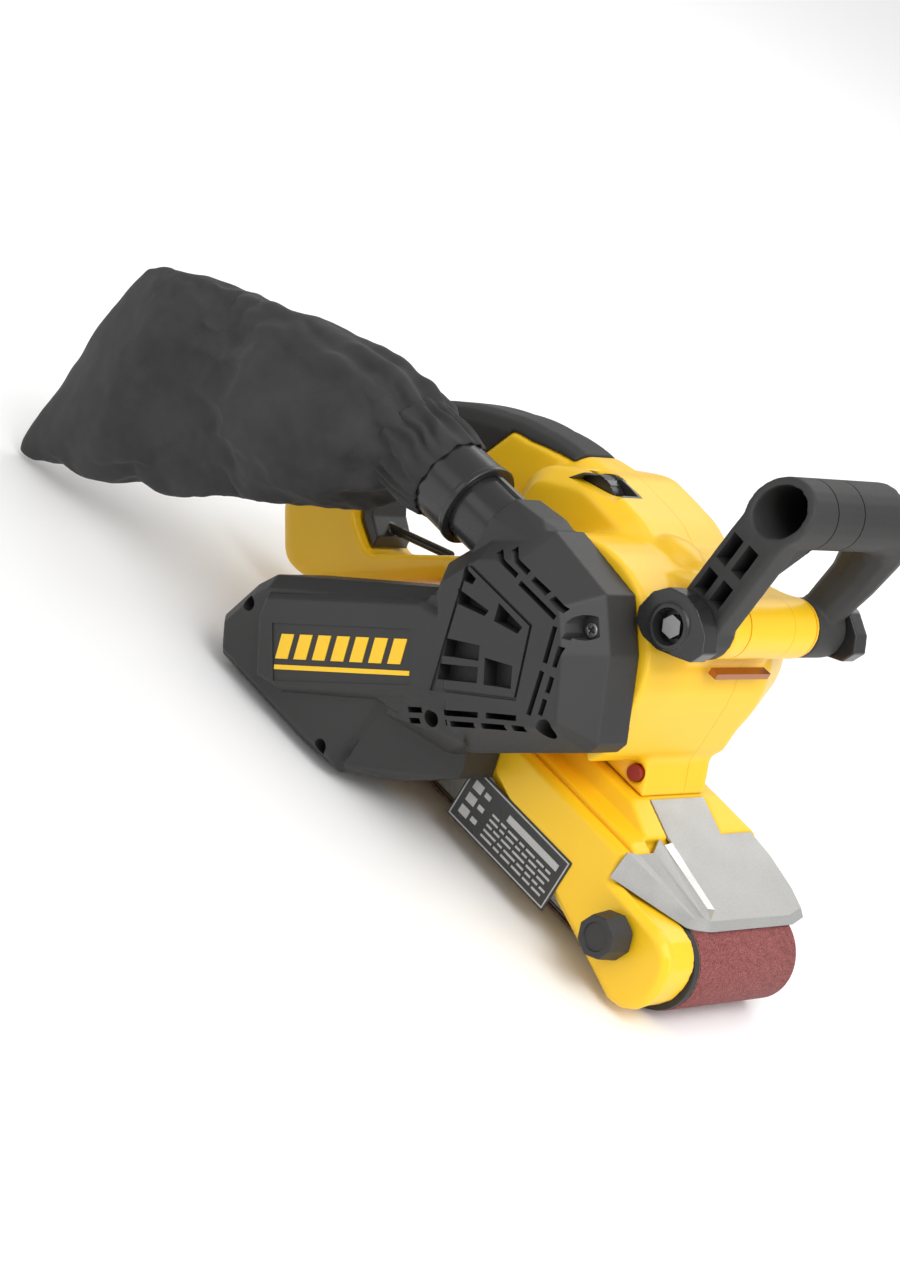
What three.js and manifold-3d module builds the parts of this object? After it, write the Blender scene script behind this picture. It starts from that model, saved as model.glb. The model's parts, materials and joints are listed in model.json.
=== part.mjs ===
// Handheld belt sander. Millimetres, +X forward (nose), +Z up, -Y the drive-cover side.
// The origin is the centre of the flat underside of the sanding belt.
import * as THREE from 'three';
import { ConvexGeometry } from 'three/addons/geometries/ConvexGeometry.js';
import { mergeVertices } from 'three/addons/utils/BufferGeometryUtils.js';
import Module from 'manifold-3d';

const wasm = await Module();
wasm.setup();

// ---- Driving dimensions ----
const GAP = 0.3;                       // clearance between neighbouring pieces
const BELT_WIDTH = 76;
const BELT_THICKNESS = 1;
const ROLLER_RADIUS = 21.2;
const WHEEL_BASE = 199;                // distance between the roller axes
const AXLE_HEIGHT = ROLLER_RADIUS + GAP + BELT_THICKNESS;
const BELT_EDGE = BELT_WIDTH / 2;

const SKIRT_OUTER = -67;               // outer face of the side skirt
const SKIRT_INNER = -43;
const SKIRT_JOINT = -59.3;             // seam between the skirt's rail and the deck
const SKIRT_BOTTOM = 3;
const SKIRT_TOP = 62.5;
const DECK_TOP = 72;
const DECK_FAR = 43;

const MOTOR_X = -12;                   // motor axis, parallel to Y
const MOTOR_Z = 118;
const HOUSING_RADIUS = 50;
const HOUSING_WALL = 3.5;
const HOUSING_NEAR = -75;
const HOUSING_SHOULDER = 22;           // where the round housing starts to taper
const HOUSING_FAR = 60;
const HOUSING_END_RADIUS = 31;

const SPLIT_Y = -3;                    // parting plane of the two housing halves
const HANDLE_HALF = 18;                // half the width of the rear handle
const GRIP_THICKNESS = 3;              // rubber on the rear handle

const COVER_OUTER = -116;
const COVER_WALL = 2.8;
const SCREW_HEAD = -101;                // outer face of the cover screws' heads, deep in their holes

const PIVOT_X = 34.7;                  // front handle pivot, parallel to Y
const PIVOT_Z = 163.3;
const BOSS_RADIUS = 14.5;
const BOSS_NEAR = -49.7;
const BOSS_FAR = 18;
const GRIP_X = 39.6;                   // front handle grip tube, parallel to Y
const GRIP_Z = 229.8;
const GRIP_RADIUS = 16;
const ARM_NEAR = -68;                  // outer faces of the front handle's arms
const ARM_FAR = 40;

const DUCT_Y = -85;                    // dust duct, parallel to X
const DUCT_Z = 143;
const DUCT_RADIUS = 17;
const COLLAR_FRONT = -83;
const COLLAR_REAR = -118;

const MOTOR_PULLEY_RADIUS = 6.4;
const DRIVEN_PULLEY_RADIUS = 13.2;
const TOOTHED_BELT_THICKNESS = 1.5;

// ---- Materials ----
const yellow = plastic(0xf2b60f, 0.42);
const black = plastic(0x2c2b2a, 0.55);
const rubber = plastic(0x262626, 0.8);
const gloss = plastic(0x161717, 0.25);
const red = plastic(0xa51d0c, 0.45);
const fabric = plastic(0x2f2d2e, 0.95);
const silver = metal(0xb9b9b7, 0.45);
const steel = metal(0x9a9c9f, 0.35);
const castAluminium = metal(0x8d8f90, 0.6);
const copper = metal(0x9a5a30, 0.45);
const abrasive = plastic(0x7d3a38, 0.95);
const cork = plastic(0x6b5236, 0.95);
const circuit = plastic(0x1f5132, 0.6);

function plastic(color, roughness) {
  return new THREE.MeshStandardMaterial({ color, roughness, metalness: 0 });
}

function metal(color, roughness) {
  return new THREE.MeshStandardMaterial({ color, roughness, metalness: 1 });
}

// ---- Solids ----
const MERGE = 0.01;                    // points closer than this are one point
const ARC_STEPS = 2;                   // half the number of straight runs in a rounded corner

function toSolid(geometry) {
  geometry.deleteAttribute('normal');
  geometry.deleteAttribute('uv');
  const merged = mergeVertices(geometry, MERGE / 10);
  return new wasm.Manifold(new wasm.Mesh({
    numProp: 3,
    vertProperties: new Float32Array(merged.attributes.position.array),
    triVerts: new Uint32Array(merged.index.array),
  }));
}

function toGeometry(solid) {
  const mesh = solid.getMesh();
  const geometry = new THREE.BufferGeometry();
  geometry.setAttribute('position', new THREE.BufferAttribute(new Float32Array(mesh.vertProperties), 3));
  geometry.setIndex(new THREE.BufferAttribute(new Uint32Array(mesh.triVerts), 1));
  geometry.computeVertexNormals();
  return geometry;
}

function join(solids) {
  return solids.reduce((whole, piece) => whole.add(piece));
}

function cut(solid, tools) {
  return tools.reduce((rest, tool) => rest.subtract(tool), solid);
}

function box(x0, x1, y0, y1, z0, z1) {
  const geometry = new THREE.BoxGeometry(x1 - x0, y1 - y0, z1 - z0);
  geometry.translate((x0 + x1) / 2, (y0 + y1) / 2, (z0 + z1) / 2);
  return toSolid(geometry);
}

// A straight round bar or taper between two points.
function bar(from, to, radius, endRadius = radius, sides = 20) {
  const start = new THREE.Vector3(...from);
  const along = new THREE.Vector3(...to).sub(start);
  const geometry = new THREE.CylinderGeometry(endRadius, radius, along.length(), sides);
  const up = new THREE.Vector3(0, 1, 0);
  geometry.applyQuaternion(new THREE.Quaternion().setFromUnitVectors(up, along.clone().normalize()));
  geometry.translate(...start.addScaledVector(along, 0.5).toArray());
  return toSolid(geometry);
}

// A round bar parallel to Y.
function disc(x, z, y0, y1, radius, endRadius = radius, sides = 20) {
  return bar([x, y0, z], [x, y1, z], radius, endRadius, sides);
}

function ring(x, z, y0, y1, outer, inner, sides = 20) {
  return disc(x, z, y0, y1, outer, outer, sides).subtract(disc(x, z, y0 - 1, y1 + 1, inner, inner, sides));
}

// A closed outline through points [a, b, cornerRadius], with each rounded corner a true arc.
function outline(points) {
  const shape = new THREE.Shape();
  points.forEach(([a, b, radius = 0], index) => {
    if (!radius) {
      if (index) shape.lineTo(a, b);
      else shape.moveTo(a, b);
      return;
    }
    const corner = new THREE.Vector2(a, b);
    const last = points.at(index - 1);
    const next = points[(index + 1) % points.length];
    const back = new THREE.Vector2(last[0], last[1]).sub(corner).normalize();
    const onward = new THREE.Vector2(next[0], next[1]).sub(corner).normalize();
    const half = Math.acos(THREE.MathUtils.clamp(back.dot(onward), -1, 1)) / 2;
    const middle = back.clone().add(onward).normalize();
    const centre = corner.clone().addScaledVector(middle, radius / Math.sin(half));
    const start = corner.clone().addScaledVector(back, radius / Math.tan(half)).sub(centre).angle();
    const end = corner.clone().addScaledVector(onward, radius / Math.tan(half)).sub(centre).angle();
    shape.absarc(centre.x, centre.y, radius, start, end, back.cross(onward) > 0);
  });
  const drawn = shape.getPoints(ARC_STEPS);
  return new THREE.Shape(drawn.filter((point, index) => point.distanceTo(drawn.at(index - 1)) > MERGE));
}

// An XZ outline carried along Y, with its long edges rounded by `edge`.
function sideSolid(points, y0, y1, edge = 0, steps = 1) {
  const geometry = new THREE.ExtrudeGeometry(outline(points), {
    depth: y1 - y0 - 2 * edge,
    bevelEnabled: edge > 0,
    bevelThickness: edge,
    bevelSize: edge,
    bevelOffset: -edge,
    bevelSegments: steps,
  });
  geometry.rotateX(Math.PI / 2);
  geometry.translate(0, y1 - edge, 0);
  return toSolid(geometry);
}

// A YZ outline carried along X.
function lengthSolid(points, x0, x1) {
  const geometry = new THREE.ExtrudeGeometry(outline(points), {
    depth: x1 - x0, bevelEnabled: false,
  });
  geometry.rotateX(Math.PI / 2);
  geometry.rotateZ(Math.PI / 2);
  geometry.translate(x0, 0, 0);
  return toSolid(geometry);
}

// An XY outline carried along Z.
function planSolid(points, z0, z1) {
  const geometry = new THREE.ExtrudeGeometry(outline(points), {
    depth: z1 - z0, bevelEnabled: false,
  });
  geometry.translate(0, 0, z0);
  return toSolid(geometry);
}

function hull(points) {
  return toSolid(new ConvexGeometry(points.map((point) => new THREE.Vector3(...point))));
}

// The same convex XZ outline at several depths, moved inwards by `inset` at each.
function levels(outlines) {
  return outlines.flatMap(({ points, y, inset = 0 }) => shrink(points, inset).map(([x, z]) => [x, y, z]));
}

// Moves every edge of a convex outline inwards by `distance`.
function shrink(points, distance) {
  const share = 1 / points.length;
  const centre = points.reduce((sum, [a, b]) => [sum[0] + a * share, sum[1] + b * share], [0, 0]);
  const edges = points.map(([a, b], index) => {
    const [c, d] = points[(index + 1) % points.length];
    const normal = new THREE.Vector2(b - d, c - a).normalize();
    if (normal.x * (centre[0] - a) + normal.y * (centre[1] - b) < 0) normal.negate();
    return { normal, offset: normal.x * a + normal.y * b + distance };
  });
  return edges.map((edge, index) => {
    const last = edges.at(index - 1);
    const scale = last.normal.x * edge.normal.y - last.normal.y * edge.normal.x;
    return [
      (last.offset * edge.normal.y - edge.offset * last.normal.y) / scale,
      (last.normal.x * edge.offset - edge.normal.x * last.offset) / scale,
    ];
  });
}

function circle(x, z, radius, count) {
  return Array.from({ length: count }, (_, index) => {
    const angle = (2 * Math.PI * index) / count;
    return [x + radius * Math.cos(angle), z + radius * Math.sin(angle)];
  });
}

// An oval in the YZ plane at x, as points for a hull.
function oval(x, y, z, halfWidth, halfHeight, count = 14) {
  return circle(0, 0, 1, count).map(([a, b]) => [x, y + a * halfWidth, z + b * halfHeight]);
}

// ---- Belt unit ----
const FRONT_AXLE = WHEEL_BASE / 2;
const REAR_AXLE = -WHEEL_BASE / 2;

function racetrack(radius, y0, y1) {
  return join([
    disc(REAR_AXLE, AXLE_HEIGHT, y0, y1, radius),
    disc(FRONT_AXLE, AXLE_HEIGHT, y0, y1, radius),
    box(REAR_AXLE, FRONT_AXLE, y0, y1, AXLE_HEIGHT - radius, AXLE_HEIGHT + radius),
  ]);
}

function sandingBelt() {
  const outer = racetrack(AXLE_HEIGHT, -BELT_EDGE, BELT_EDGE);
  return outer.subtract(racetrack(AXLE_HEIGHT - BELT_THICKNESS, -BELT_EDGE - 1, BELT_EDGE + 1));
}

function roller(x, bore) {
  return ring(x, AXLE_HEIGHT, -BELT_EDGE + 1, BELT_EDGE - 1, ROLLER_RADIUS, bore);
}

function beltFrame() {
  const block = box(-70, 60, SKIRT_INNER + GAP, 36, 6, 40.5);
  const stemSlide = box(27.7, 61, -8.3, 8.3, 16.2, 28.8);
  const armSlide = box(54, 61, -44, -37 + GAP, 14.2, 30.8);
  const springPocket = bar([19, 0, AXLE_HEIGHT], [34, 0, AXLE_HEIGHT], 6);
  const lightening = [-52, -16].map((x) => box(x, x + 26, -34, 28, 12, 50));
  return cut(block, [stemSlide, armSlide, springPocket, ...lightening]);
}

function idlerYoke() {
  const low = AXLE_HEIGHT - 8;
  const high = AXLE_HEIGHT + 8;
  const arms = [-41, 37.3].map((y) => box(61, 106, y, y + 3.7, low, high));
  const cross = box(67, 74, -41, 41, low, high);
  const stem = box(34.5, 68, -8, 8, 16.5, 28.5);
  const axleHole = disc(FRONT_AXLE, AXLE_HEIGHT, -50, 50, 4 + GAP);
  return join([...arms, cross, stem]).subtract(axleHole);
}

// A helical spring: a round wire carried along the helix.
class Helix extends THREE.Curve {
  constructor(radius, length, turns) {
    super();
    Object.assign(this, { radius, length, turns });
  }

  getPoint(t) {
    const angle = 2 * Math.PI * this.turns * t;
    return new THREE.Vector3(this.length * t, this.radius * Math.cos(angle), this.radius * Math.sin(angle));
  }
}

function tensionSpring() {
  const wire = new THREE.Shape();
  wire.absarc(0, 0, 0.7, 0, 2 * Math.PI, false);
  const geometry = new THREE.ExtrudeGeometry(wire, {
    steps: 32, curveSegments: 3, bevelEnabled: false, extrudePath: new Helix(4.4, 6.5, 4),
  });
  geometry.translate(20.3, 0, AXLE_HEIGHT);
  return toSolid(geometry);
}

function platen(z0, z1, reach) {
  return box(-reach, reach, -BELT_EDGE + 1, BELT_EDGE - 2, z0, z1);
}

// ---- Side skirt and deck ----
const SKIRT_RAIL = [
  [-62, SKIRT_BOTTOM], [121, 3.5, 20], [121, 45.5, 18], [72, 48], [70, SKIRT_TOP], [-62, SKIRT_TOP],
];
const SKIRT_BODY = [
  [-62, SKIRT_BOTTOM], [119.5, 3.5, 20], [119.5, 44, 17], [72, 46.5], [62, 50], [50, 55], [-62, 55],
];
const CASE_OUTLINE = [
  [-147, 51], [-158, 19], [-148, 5], [-88, 5], [-59, 7], [-36, 20], [-12, 42], [-16, 56], [-50, 62],
  [-120, 62],
];
const LABEL = { x0: -21, x1: 50, z0: 11.5, z1: 40 };
const TRACKING = { x: 88.6, z: 31 };

function sideSkirt() {
  const rail = sideSolid(SKIRT_RAIL, SKIRT_OUTER, SKIRT_JOINT + 0.5, 3);
  const body = sideSolid(SKIRT_BODY, SKIRT_JOINT - 4, SKIRT_INNER);
  const caseBack = sideSolid(CASE_OUTLINE, SKIRT_OUTER + 3, SKIRT_OUTER + 8);
  const rearBearing = disc(REAR_AXLE, AXLE_HEIGHT, SKIRT_OUTER + 3, SKIRT_INNER, 18);
  const railTrim = box(-70, 130, SKIRT_JOINT, SKIRT_INNER + 5, 55, 80);
  return cut(join([rail.subtract(railTrim), body, caseBack, rearBearing]), [
    disc(REAR_AXLE, AXLE_HEIGHT, -80, -40, 13 + GAP),
    box(LABEL.x0 - GAP, LABEL.x1 + GAP, SKIRT_OUTER - 1, SKIRT_OUTER + 0.8, LABEL.z0 - GAP, LABEL.z1 + GAP),
    disc(TRACKING.x, TRACKING.z, -70, -50, 3 + GAP, 3 + GAP, 16),
    box(-100, -30, -80, SKIRT_OUTER + 2.9, 0, 70),
  ]);
}

const PLATE_SLOPE = 0.4;               // fall of the front plate per mm of length
const PLATE_THICKNESS = 2.2;
const PLATE_REAR = 45;

function plateHeight(x) {
  return DECK_TOP - PLATE_SLOPE * (x - PLATE_REAR);
}

function deck() {
  const near = SKIRT_INNER + GAP;
  const slab = lengthSolid([
    [SKIRT_JOINT + GAP, 55.3], [near, 55.3], [near, 50], [DECK_FAR, 50],
    [DECK_FAR, 62.5], [24, DECK_TOP, 3], [SKIRT_INNER, DECK_TOP, 2], [-46, 64], [SKIRT_JOINT + GAP, 64, 1.5],
  ], -112, 63.5);
  const ledge = lengthSolid([
    [SKIRT_JOINT + GAP, 55.3], [-46.5, 55.3], [-46.5, 64], [SKIRT_JOINT + GAP, 64, 1.5],
  ], 60, 70.5);
  const nose = sideSolid([[60, 50], [60, 62.2], [94, plateHeight(94) - 3.2], [94, 47.2]], near, 43);
  const rearHood = sideSolid([
    [-111, 50], [-111, 68], [-122, 62, 6], [-129, 50, 6], [-129, 32], [-125.5, 32],
    [-125.5, 47, 4], [-118, 57, 4],
  ], near, 40);
  const recess = sideSolid([
    [PLATE_REAR - GAP, DECK_TOP + 1], [PLATE_REAR - GAP, DECK_TOP - 2.6],
    [64, plateHeight(64) - 2.6], [64, DECK_TOP + 1],
  ], -29 - GAP, 13 + GAP);
  const slope = sideSolid([
    [PLATE_REAR, DECK_TOP], [PLATE_REAR, 90], [80, 90], [80, plateHeight(80)],
  ], -70, 60);
  const saddleRadius = HOUSING_RADIUS + 2 * GAP;
  const saddle = disc(MOTOR_X, MOTOR_Z, -60, HOUSING_SHOULDER + 10, saddleRadius, saddleRadius, 32);
  return cut(join([slab, ledge, nose, rearHood]), [slope, recess, saddle]);
}

function frontPlate() {
  const sheet = sideSolid([
    [PLATE_REAR, DECK_TOP - PLATE_THICKNESS], [101, plateHeight(101) - PLATE_THICKNESS], [105, 45.1],
    [108, 45.6], [103.5, plateHeight(103.5), 3], [PLATE_REAR, DECK_TOP],
  ], -67, 51);
  const plan = planSolid([
    [PLATE_REAR - 1, -29], [64, -29], [64, -44], [71, -45], [71, -66.5], [76, -66.5], [104, -43, 4],
    [110, -30], [110, 38], [101, 50], [90, 48], [75, 43], [64, 36], [64, 13], [PLATE_REAR - 1, 13],
  ], 30, 90);
  return sheet.intersect(plan);
}

// ---- Motor housing and rear handle ----
const HANDLE_OUTER = [
  [-60, 172], [-91, 168.5], [-117, 164.5], [-141, 157], [-168, 144], [-190, 128, 40], [-232, 84, 30],
  [-230, 40, 20], [-210, 15, 14], [-184, 18, 20], [-117, 73], [-60, 74],
];
const LOOP = [
  [-127, 82, 8], [-167, 53, 8], [-184, 62, 8], [-197, 84, 12], [-180, 101, 14], [-140, 122, 40],
  [-106, 129, 10], [-103, 98, 12],
];
const OVERMOLD_REACH = [
  [-88, 190], [-91, 163.5], [-129, 153.5], [-138, 133], [-150, 105], [-200, 75], [-212, 72], [-250, 78],
  [-250, 190],
];
const TRIGGER_SLOT = { x0: -158, x1: -113, y0: -10, y1: 4 };

function motorBarrel(shrinkBy, nearEnd, farEnd) {
  const radius = HOUSING_RADIUS - shrinkBy;
  return join([
    disc(MOTOR_X, MOTOR_Z, nearEnd, HOUSING_SHOULDER + 0.01, radius, radius, 32),
    disc(MOTOR_X, MOTOR_Z, HOUSING_SHOULDER, farEnd, radius, HOUSING_END_RADIUS - shrinkBy, 32),
  ]);
}

function handleRing(inset) {
  const reach = HANDLE_HALF - inset;
  const outer = sideSolid(HANDLE_OUTER, SPLIT_Y - reach, SPLIT_Y + reach, 8 - inset, 2);
  const hole = sideSolid(LOOP, SPLIT_Y - 30, SPLIT_Y + 30);
  return outer.subtract(hole);
}

// The stretch of the handle's core that the rubber grip wraps round.
function gripCore(clearance) {
  const inset = GRIP_THICKNESS + clearance;
  return handleRing(inset).translate(0.55 * inset, 0, -0.83 * inset);
}

function bandRegion(clearance) {
  return sideSolid(OVERMOLD_REACH, SPLIT_Y - 30, SPLIT_Y + 30).translate(clearance, 0, -clearance);
}

function gripOvermold() {
  return handleRing(0).intersect(bandRegion(0)).subtract(gripCore(0));
}

function handleCavity() {
  const line = [[-80, 148], [-118, 146], [-160, 130], [-195, 105], [-209, 78], [-203, 50], [-193, 40]];
  const runs = line.slice(1).map(([x, z], index) => (
    bar([line[index][0], SPLIT_Y, line[index][1]], [x, SPLIT_Y, z], 9, 9, 16)
  ));
  return join(runs);
}

function housingBody() {
  const shoulder = sideSolid([
    [-97, 80, 12], [-99, 158, 18], [-66, 174, 30], [-35, 172, 30], [10, 156, 20], [0, 100], [-40, 78],
  ], -42, 34, 8);
  const neck = sideSolid([
    [-62, 100], [-62, DECK_TOP + GAP], [44.6, DECK_TOP + GAP], [37, 88], [37, 100],
  ], -36, 15);
  const belly = sideSolid([
    [10, 80], [33, 85, 3], [37.9, 93, 6], [37.9, MOTOR_Z], [10, MOTOR_Z],
  ], HOUSING_NEAR, 20);
  const tail = sideSolid([
    [-128, 79], [-103, 104], [-50, 110], [-50, DECK_TOP + GAP], [-116, DECK_TOP + GAP],
  ], -21, 15, 3);
  const boss = disc(PIVOT_X, PIVOT_Z, BOSS_NEAR, BOSS_FAR, BOSS_RADIUS);
  const web = sideSolid([
    [PIVOT_X, PIVOT_Z - BOSS_RADIUS], [34, 142], [0, 142], [0, 168], [PIVOT_X - 8, PIVOT_Z + 12],
  ], BOSS_NEAR + 4, BOSS_FAR - 3);
  const caseFlange = sideSolid(shrink(COVER_UPPER, 4), HOUSING_NEAR, HOUSING_NEAR + 4);
  const handle = cut(handleRing(0), [bandRegion(GAP).subtract(gripCore(GAP))]);
  const barrel = motorBarrel(0, HOUSING_NEAR, HOUSING_FAR);
  return join([barrel, shoulder, neck, belly, tail, boss, web, caseFlange, handle]);
}

function housing() {
  const farBearingSeat = disc(MOTOR_X, MOTOR_Z, 45, HOUSING_FAR - 1, 13);
  const nearBearingSeat = disc(MOTOR_X, MOTOR_Z, HOUSING_NEAR, -64, 17);
  const vents = Array.from({ length: 6 }, (_, index) => {
    const angle = (Math.PI * index) / 3;
    const reach = new THREE.Vector3(Math.cos(angle), 0, Math.sin(angle));
    const from = [MOTOR_X + 17 * reach.x, 50, MOTOR_Z + 17 * reach.z];
    return bar(from, [from[0], 70, from[2]], 4.5, 4.5, 12);
  });
  const hollow = cut(housingBody(), [motorBarrel(HOUSING_WALL, HOUSING_NEAR + 4, HOUSING_FAR - 3.5)]);
  const speedPocket = box(-90, -55, -12, 8, 128, 152);
  const switchPocket = box(-154, -120, -9.2, 3.2, 128, 149);
  const triggerSlot = box(TRIGGER_SLOT.x0, TRIGGER_SLOT.x1, TRIGGER_SLOT.y0, TRIGGER_SLOT.y1, 96, 135);
  const lockHole = bar([LOCK.x, 0, LOCK.z], [LOCK.x, 30, LOCK.z], LOCK.radius + GAP, LOCK.radius + GAP, 20);
  const plugHole = bar([PLUG.x, -45, PLUG.z], [PLUG.x, -26, PLUG.z], 4 + GAP, 4 + GAP, 20);
  const cordHole = bar(GLAND.top, GLAND.hole, 7 + GAP, 7 + GAP, 20);
  return cut(join([hollow, nearBearingSeat, farBearingSeat]), [
    handleCavity(),
    disc(MOTOR_X, MOTOR_Z, HOUSING_NEAR - 1, -60, 13 + GAP),
    disc(MOTOR_X, MOTOR_Z, 40, 55.3, 9.5 + GAP),
    disc(PIVOT_X, PIVOT_Z, -60, 30, 4 + GAP, 4 + GAP, 20),
    ...vents,
    disc(DIAL.x, DIAL.z, DIAL.y0 - 1, DIAL.y1 + 1, DIAL.radius + 1),
    speedPocket,
    switchPocket,
    triggerSlot,
    lockHole,
    plugHole,
    cordHole,
  ]);
}

function housingHalf(isNear) {
  const near = box(-300, 100, -100, SPLIT_Y - GAP / 2, -10, 300);
  const far = box(-300, 100, SPLIT_Y + GAP / 2, 100, -10, 300);
  const pieces = housing().intersect(isNear ? near : far).decompose();
  return pieces.reduce((largest, piece) => (piece.volume() > largest.volume() ? piece : largest));
}

// ---- Controls ----
const DIAL = { x: -66, z: 159, y0: -28, y1: -20, radius: 13 };
const LOCK = { x: -126, z: 142, radius: 5 };
const PLUG = { x: 35, z: 79.5 };
const GLAND = { top: [-190, SPLIT_Y, 38], bottom: [-193.5, SPLIT_Y, 21], hole: [-196, SPLIT_Y, 9] };

function speedDial() {
  const wheel = disc(DIAL.x, DIAL.z, DIAL.y0, DIAL.y1, DIAL.radius);
  const notches = circle(DIAL.x, DIAL.z, DIAL.radius + 0.4, 16).map(([x, z]) => (
    disc(x, z, DIAL.y0 - 1, DIAL.y1 + 1, 1, 1, 6)
  ));
  return cut(wheel, notches);
}

function trigger() {
  return sideSolid([
    [-114, 132, 2], [-116, 116, 4], [-130, 108, 8], [-150, 98, 5], [-155, 101, 2], [-150, 113, 3],
    [-138, 118, 6], [-126, 124], [-122, 132, 2],
  ], TRIGGER_SLOT.y0 + 0.6, TRIGGER_SLOT.y1 - 0.6);
}

function loopLiner() {
  return sideSolid([
    [-167, 55], [-182, 62.7], [-192, 80.5], [-188, 82.5], [-178, 67.5], [-168, 62.5], [-133, 83.5],
    [-132.5, 80], [-162, 60],
  ], SPLIT_Y - 13, SPLIT_Y + 13, 0.8);
}

function cordGland() {
  const [x, y, z] = GLAND.hole;
  const nut = bar([GLAND.bottom[0], y, GLAND.bottom[2]], [x, y, z], 7, 6, 20);
  return cut(nut, [bar([-192.9, y, 24], [-196.9, y, 5], 3.5, 3.5, 16)]);
}

// ---- Drive cover ----
const COVER_UPPER = [
  [-66, 104], [-71, 118], [-56, 147], [-31, 166], [9, 161], [27, 141], [46, 106], [44, 100], [-8, 58],
  [-20, 56],
];
const COVER_REAR = [
  [-146, 54.5], [-152.5, 44], [-161, 19], [-151, 3.5], [-88, 3], [-59, 5], [-36, 18], [-9, 42], [-13, 56],
  [-60, 112],
];
const COVER_SCREWS = [
  { x: -146, z: 36 }, { x: -71, z: 12 }, { x: 14, z: 145 }, { x: -26, z: 64 }, { x: 29, z: 103 },
];

function coverUpper(inset, rim, face) {
  return hull(levels([
    { points: COVER_UPPER, y: rim, inset },
    { points: COVER_UPPER, y: -97, inset },
    { points: COVER_UPPER, y: face, inset: inset + 13 },
  ]));
}

function coverRear(inset, rim, face) {
  return hull(levels([
    { points: COVER_REAR, y: rim, inset },
    { points: COVER_REAR, y: face + 7, inset },
    { points: COVER_REAR, y: face, inset: inset + 6 },
  ]));
}

function ventSlots() {
  const rows = [
    { from: [-40, 149], to: [4, 146], count: 4 },
    { from: [8, 140], to: [18, 104], count: 4 },
    { from: [-40, 58], to: [20, 100], count: 6 },
  ];
  return rows.flatMap(({ from, to, count }) => {
    const run = new THREE.Vector2(to[0] - from[0], to[1] - from[1]);
    const pitch = run.length() / count;
    return Array.from({ length: count }, (_, index) => {
      const geometry = new THREE.BoxGeometry(pitch - 2.5, 30, 2.6);
      geometry.rotateY(-run.angle());
      const middle = (index + 0.5) / count;
      geometry.translate(from[0] + run.x * middle, COVER_OUTER, from[1] + run.y * middle);
      return toSolid(geometry);
    });
  });
}

function driveCover() {
  const rearRim = SKIRT_OUTER - GAP;
  const upperRim = HOUSING_NEAR - GAP;
  const outer = join([coverUpper(0, upperRim, COVER_OUTER), coverRear(0, rearRim, COVER_OUTER)]);
  const barrelRadius = HOUSING_RADIUS + GAP;
  const barrelCut = disc(MOTOR_X, MOTOR_Z, HOUSING_NEAR - GAP, -50, barrelRadius, barrelRadius, 32);
  const flangeCut = box(-80, 60, HOUSING_NEAR - GAP, -60, 60, 180);
  const inner = join([
    coverUpper(COVER_WALL, upperRim + 1, COVER_OUTER + COVER_WALL),
    coverRear(COVER_WALL, rearRim + 1, COVER_OUTER + COVER_WALL),
  ]);
  const bosses = COVER_SCREWS.map(({ x, z }) => disc(x, z, COVER_OUTER + 4, upperRim, 5, 5, 16));
  const heads = COVER_SCREWS.map(({ x, z }) => disc(x, z, COVER_OUTER - 1, SCREW_HEAD + 3.5, 3.9, 3.9, 16));
  const shanks = COVER_SCREWS.map(({ x, z }) => disc(x, z, COVER_OUTER, -60, 1.8, 1.8, 12));
  const duct = bar([-90, DUCT_Y, DUCT_Z], [-30, DUCT_Y, DUCT_Z], DUCT_RADIUS + 1);
  const shell = join([cut(outer, [inner]), ...bosses]).intersect(outer);
  return cut(shell, [barrelCut, flangeCut, ...heads, ...shanks, duct, ...ventSlots()]);
}

function coverScrew({ x, z }) {
  const head = disc(x, z, SCREW_HEAD, SCREW_HEAD + 3.2, 3.5, 3.5, 16);
  const shank = disc(x, z, SCREW_HEAD + 2.5, -79, 1.5, 1.5, 12);
  const drive = [
    box(x - 2, x + 2, SCREW_HEAD - 0.5, SCREW_HEAD + 1.5, z - 0.4, z + 0.4),
    box(x - 0.4, x + 0.4, SCREW_HEAD - 0.5, SCREW_HEAD + 1.5, z - 2, z + 2),
  ];
  return cut(join([head, shank]), drive);
}

// ---- Dust extraction ----
function dustDuct() {
  const from = [-61.5, DUCT_Y, DUCT_Z];
  const to = [COLLAR_REAR, DUCT_Y, DUCT_Z];
  const crest = DUCT_Z + DUCT_RADIUS;
  const rib = box(COLLAR_FRONT + 2, -63, DUCT_Y - 1.5, DUCT_Y + 1.5, crest - 1, crest + 1.2);
  const bore = bar([-50, DUCT_Y, DUCT_Z], [-130, DUCT_Y, DUCT_Z], DUCT_RADIUS - 2.5);
  return join([bar(from, to, DUCT_RADIUS), rib]).subtract(bore);
}

function dustCollar() {
  const body = bar([COLLAR_FRONT, DUCT_Y, DUCT_Z], [COLLAR_REAR, DUCT_Y, DUCT_Z], 20);
  const rim = bar([COLLAR_FRONT + 0.5, DUCT_Y, DUCT_Z], [COLLAR_FRONT - 2.5, DUCT_Y, DUCT_Z], 21);
  const bore = bar([COLLAR_FRONT + 5, DUCT_Y, DUCT_Z], [COLLAR_REAR - 5, DUCT_Y, DUCT_Z], DUCT_RADIUS + GAP);
  return join([body, rim]).subtract(bore);
}

function dustBag() {
  return hull([
    ...oval(COLLAR_REAR - GAP, DUCT_Y, DUCT_Z, 19, 19),
    ...oval(-150, -88, 129, 30, 37),
    ...oval(-200, -92, 112, 33, 47),
    ...oval(-260, -97, 86, 25, 55),
    ...oval(-300, -101, 67, 8, 57),
    ...oval(-310, -102, 61, 2.5, 56),
  ]);
}

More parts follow.
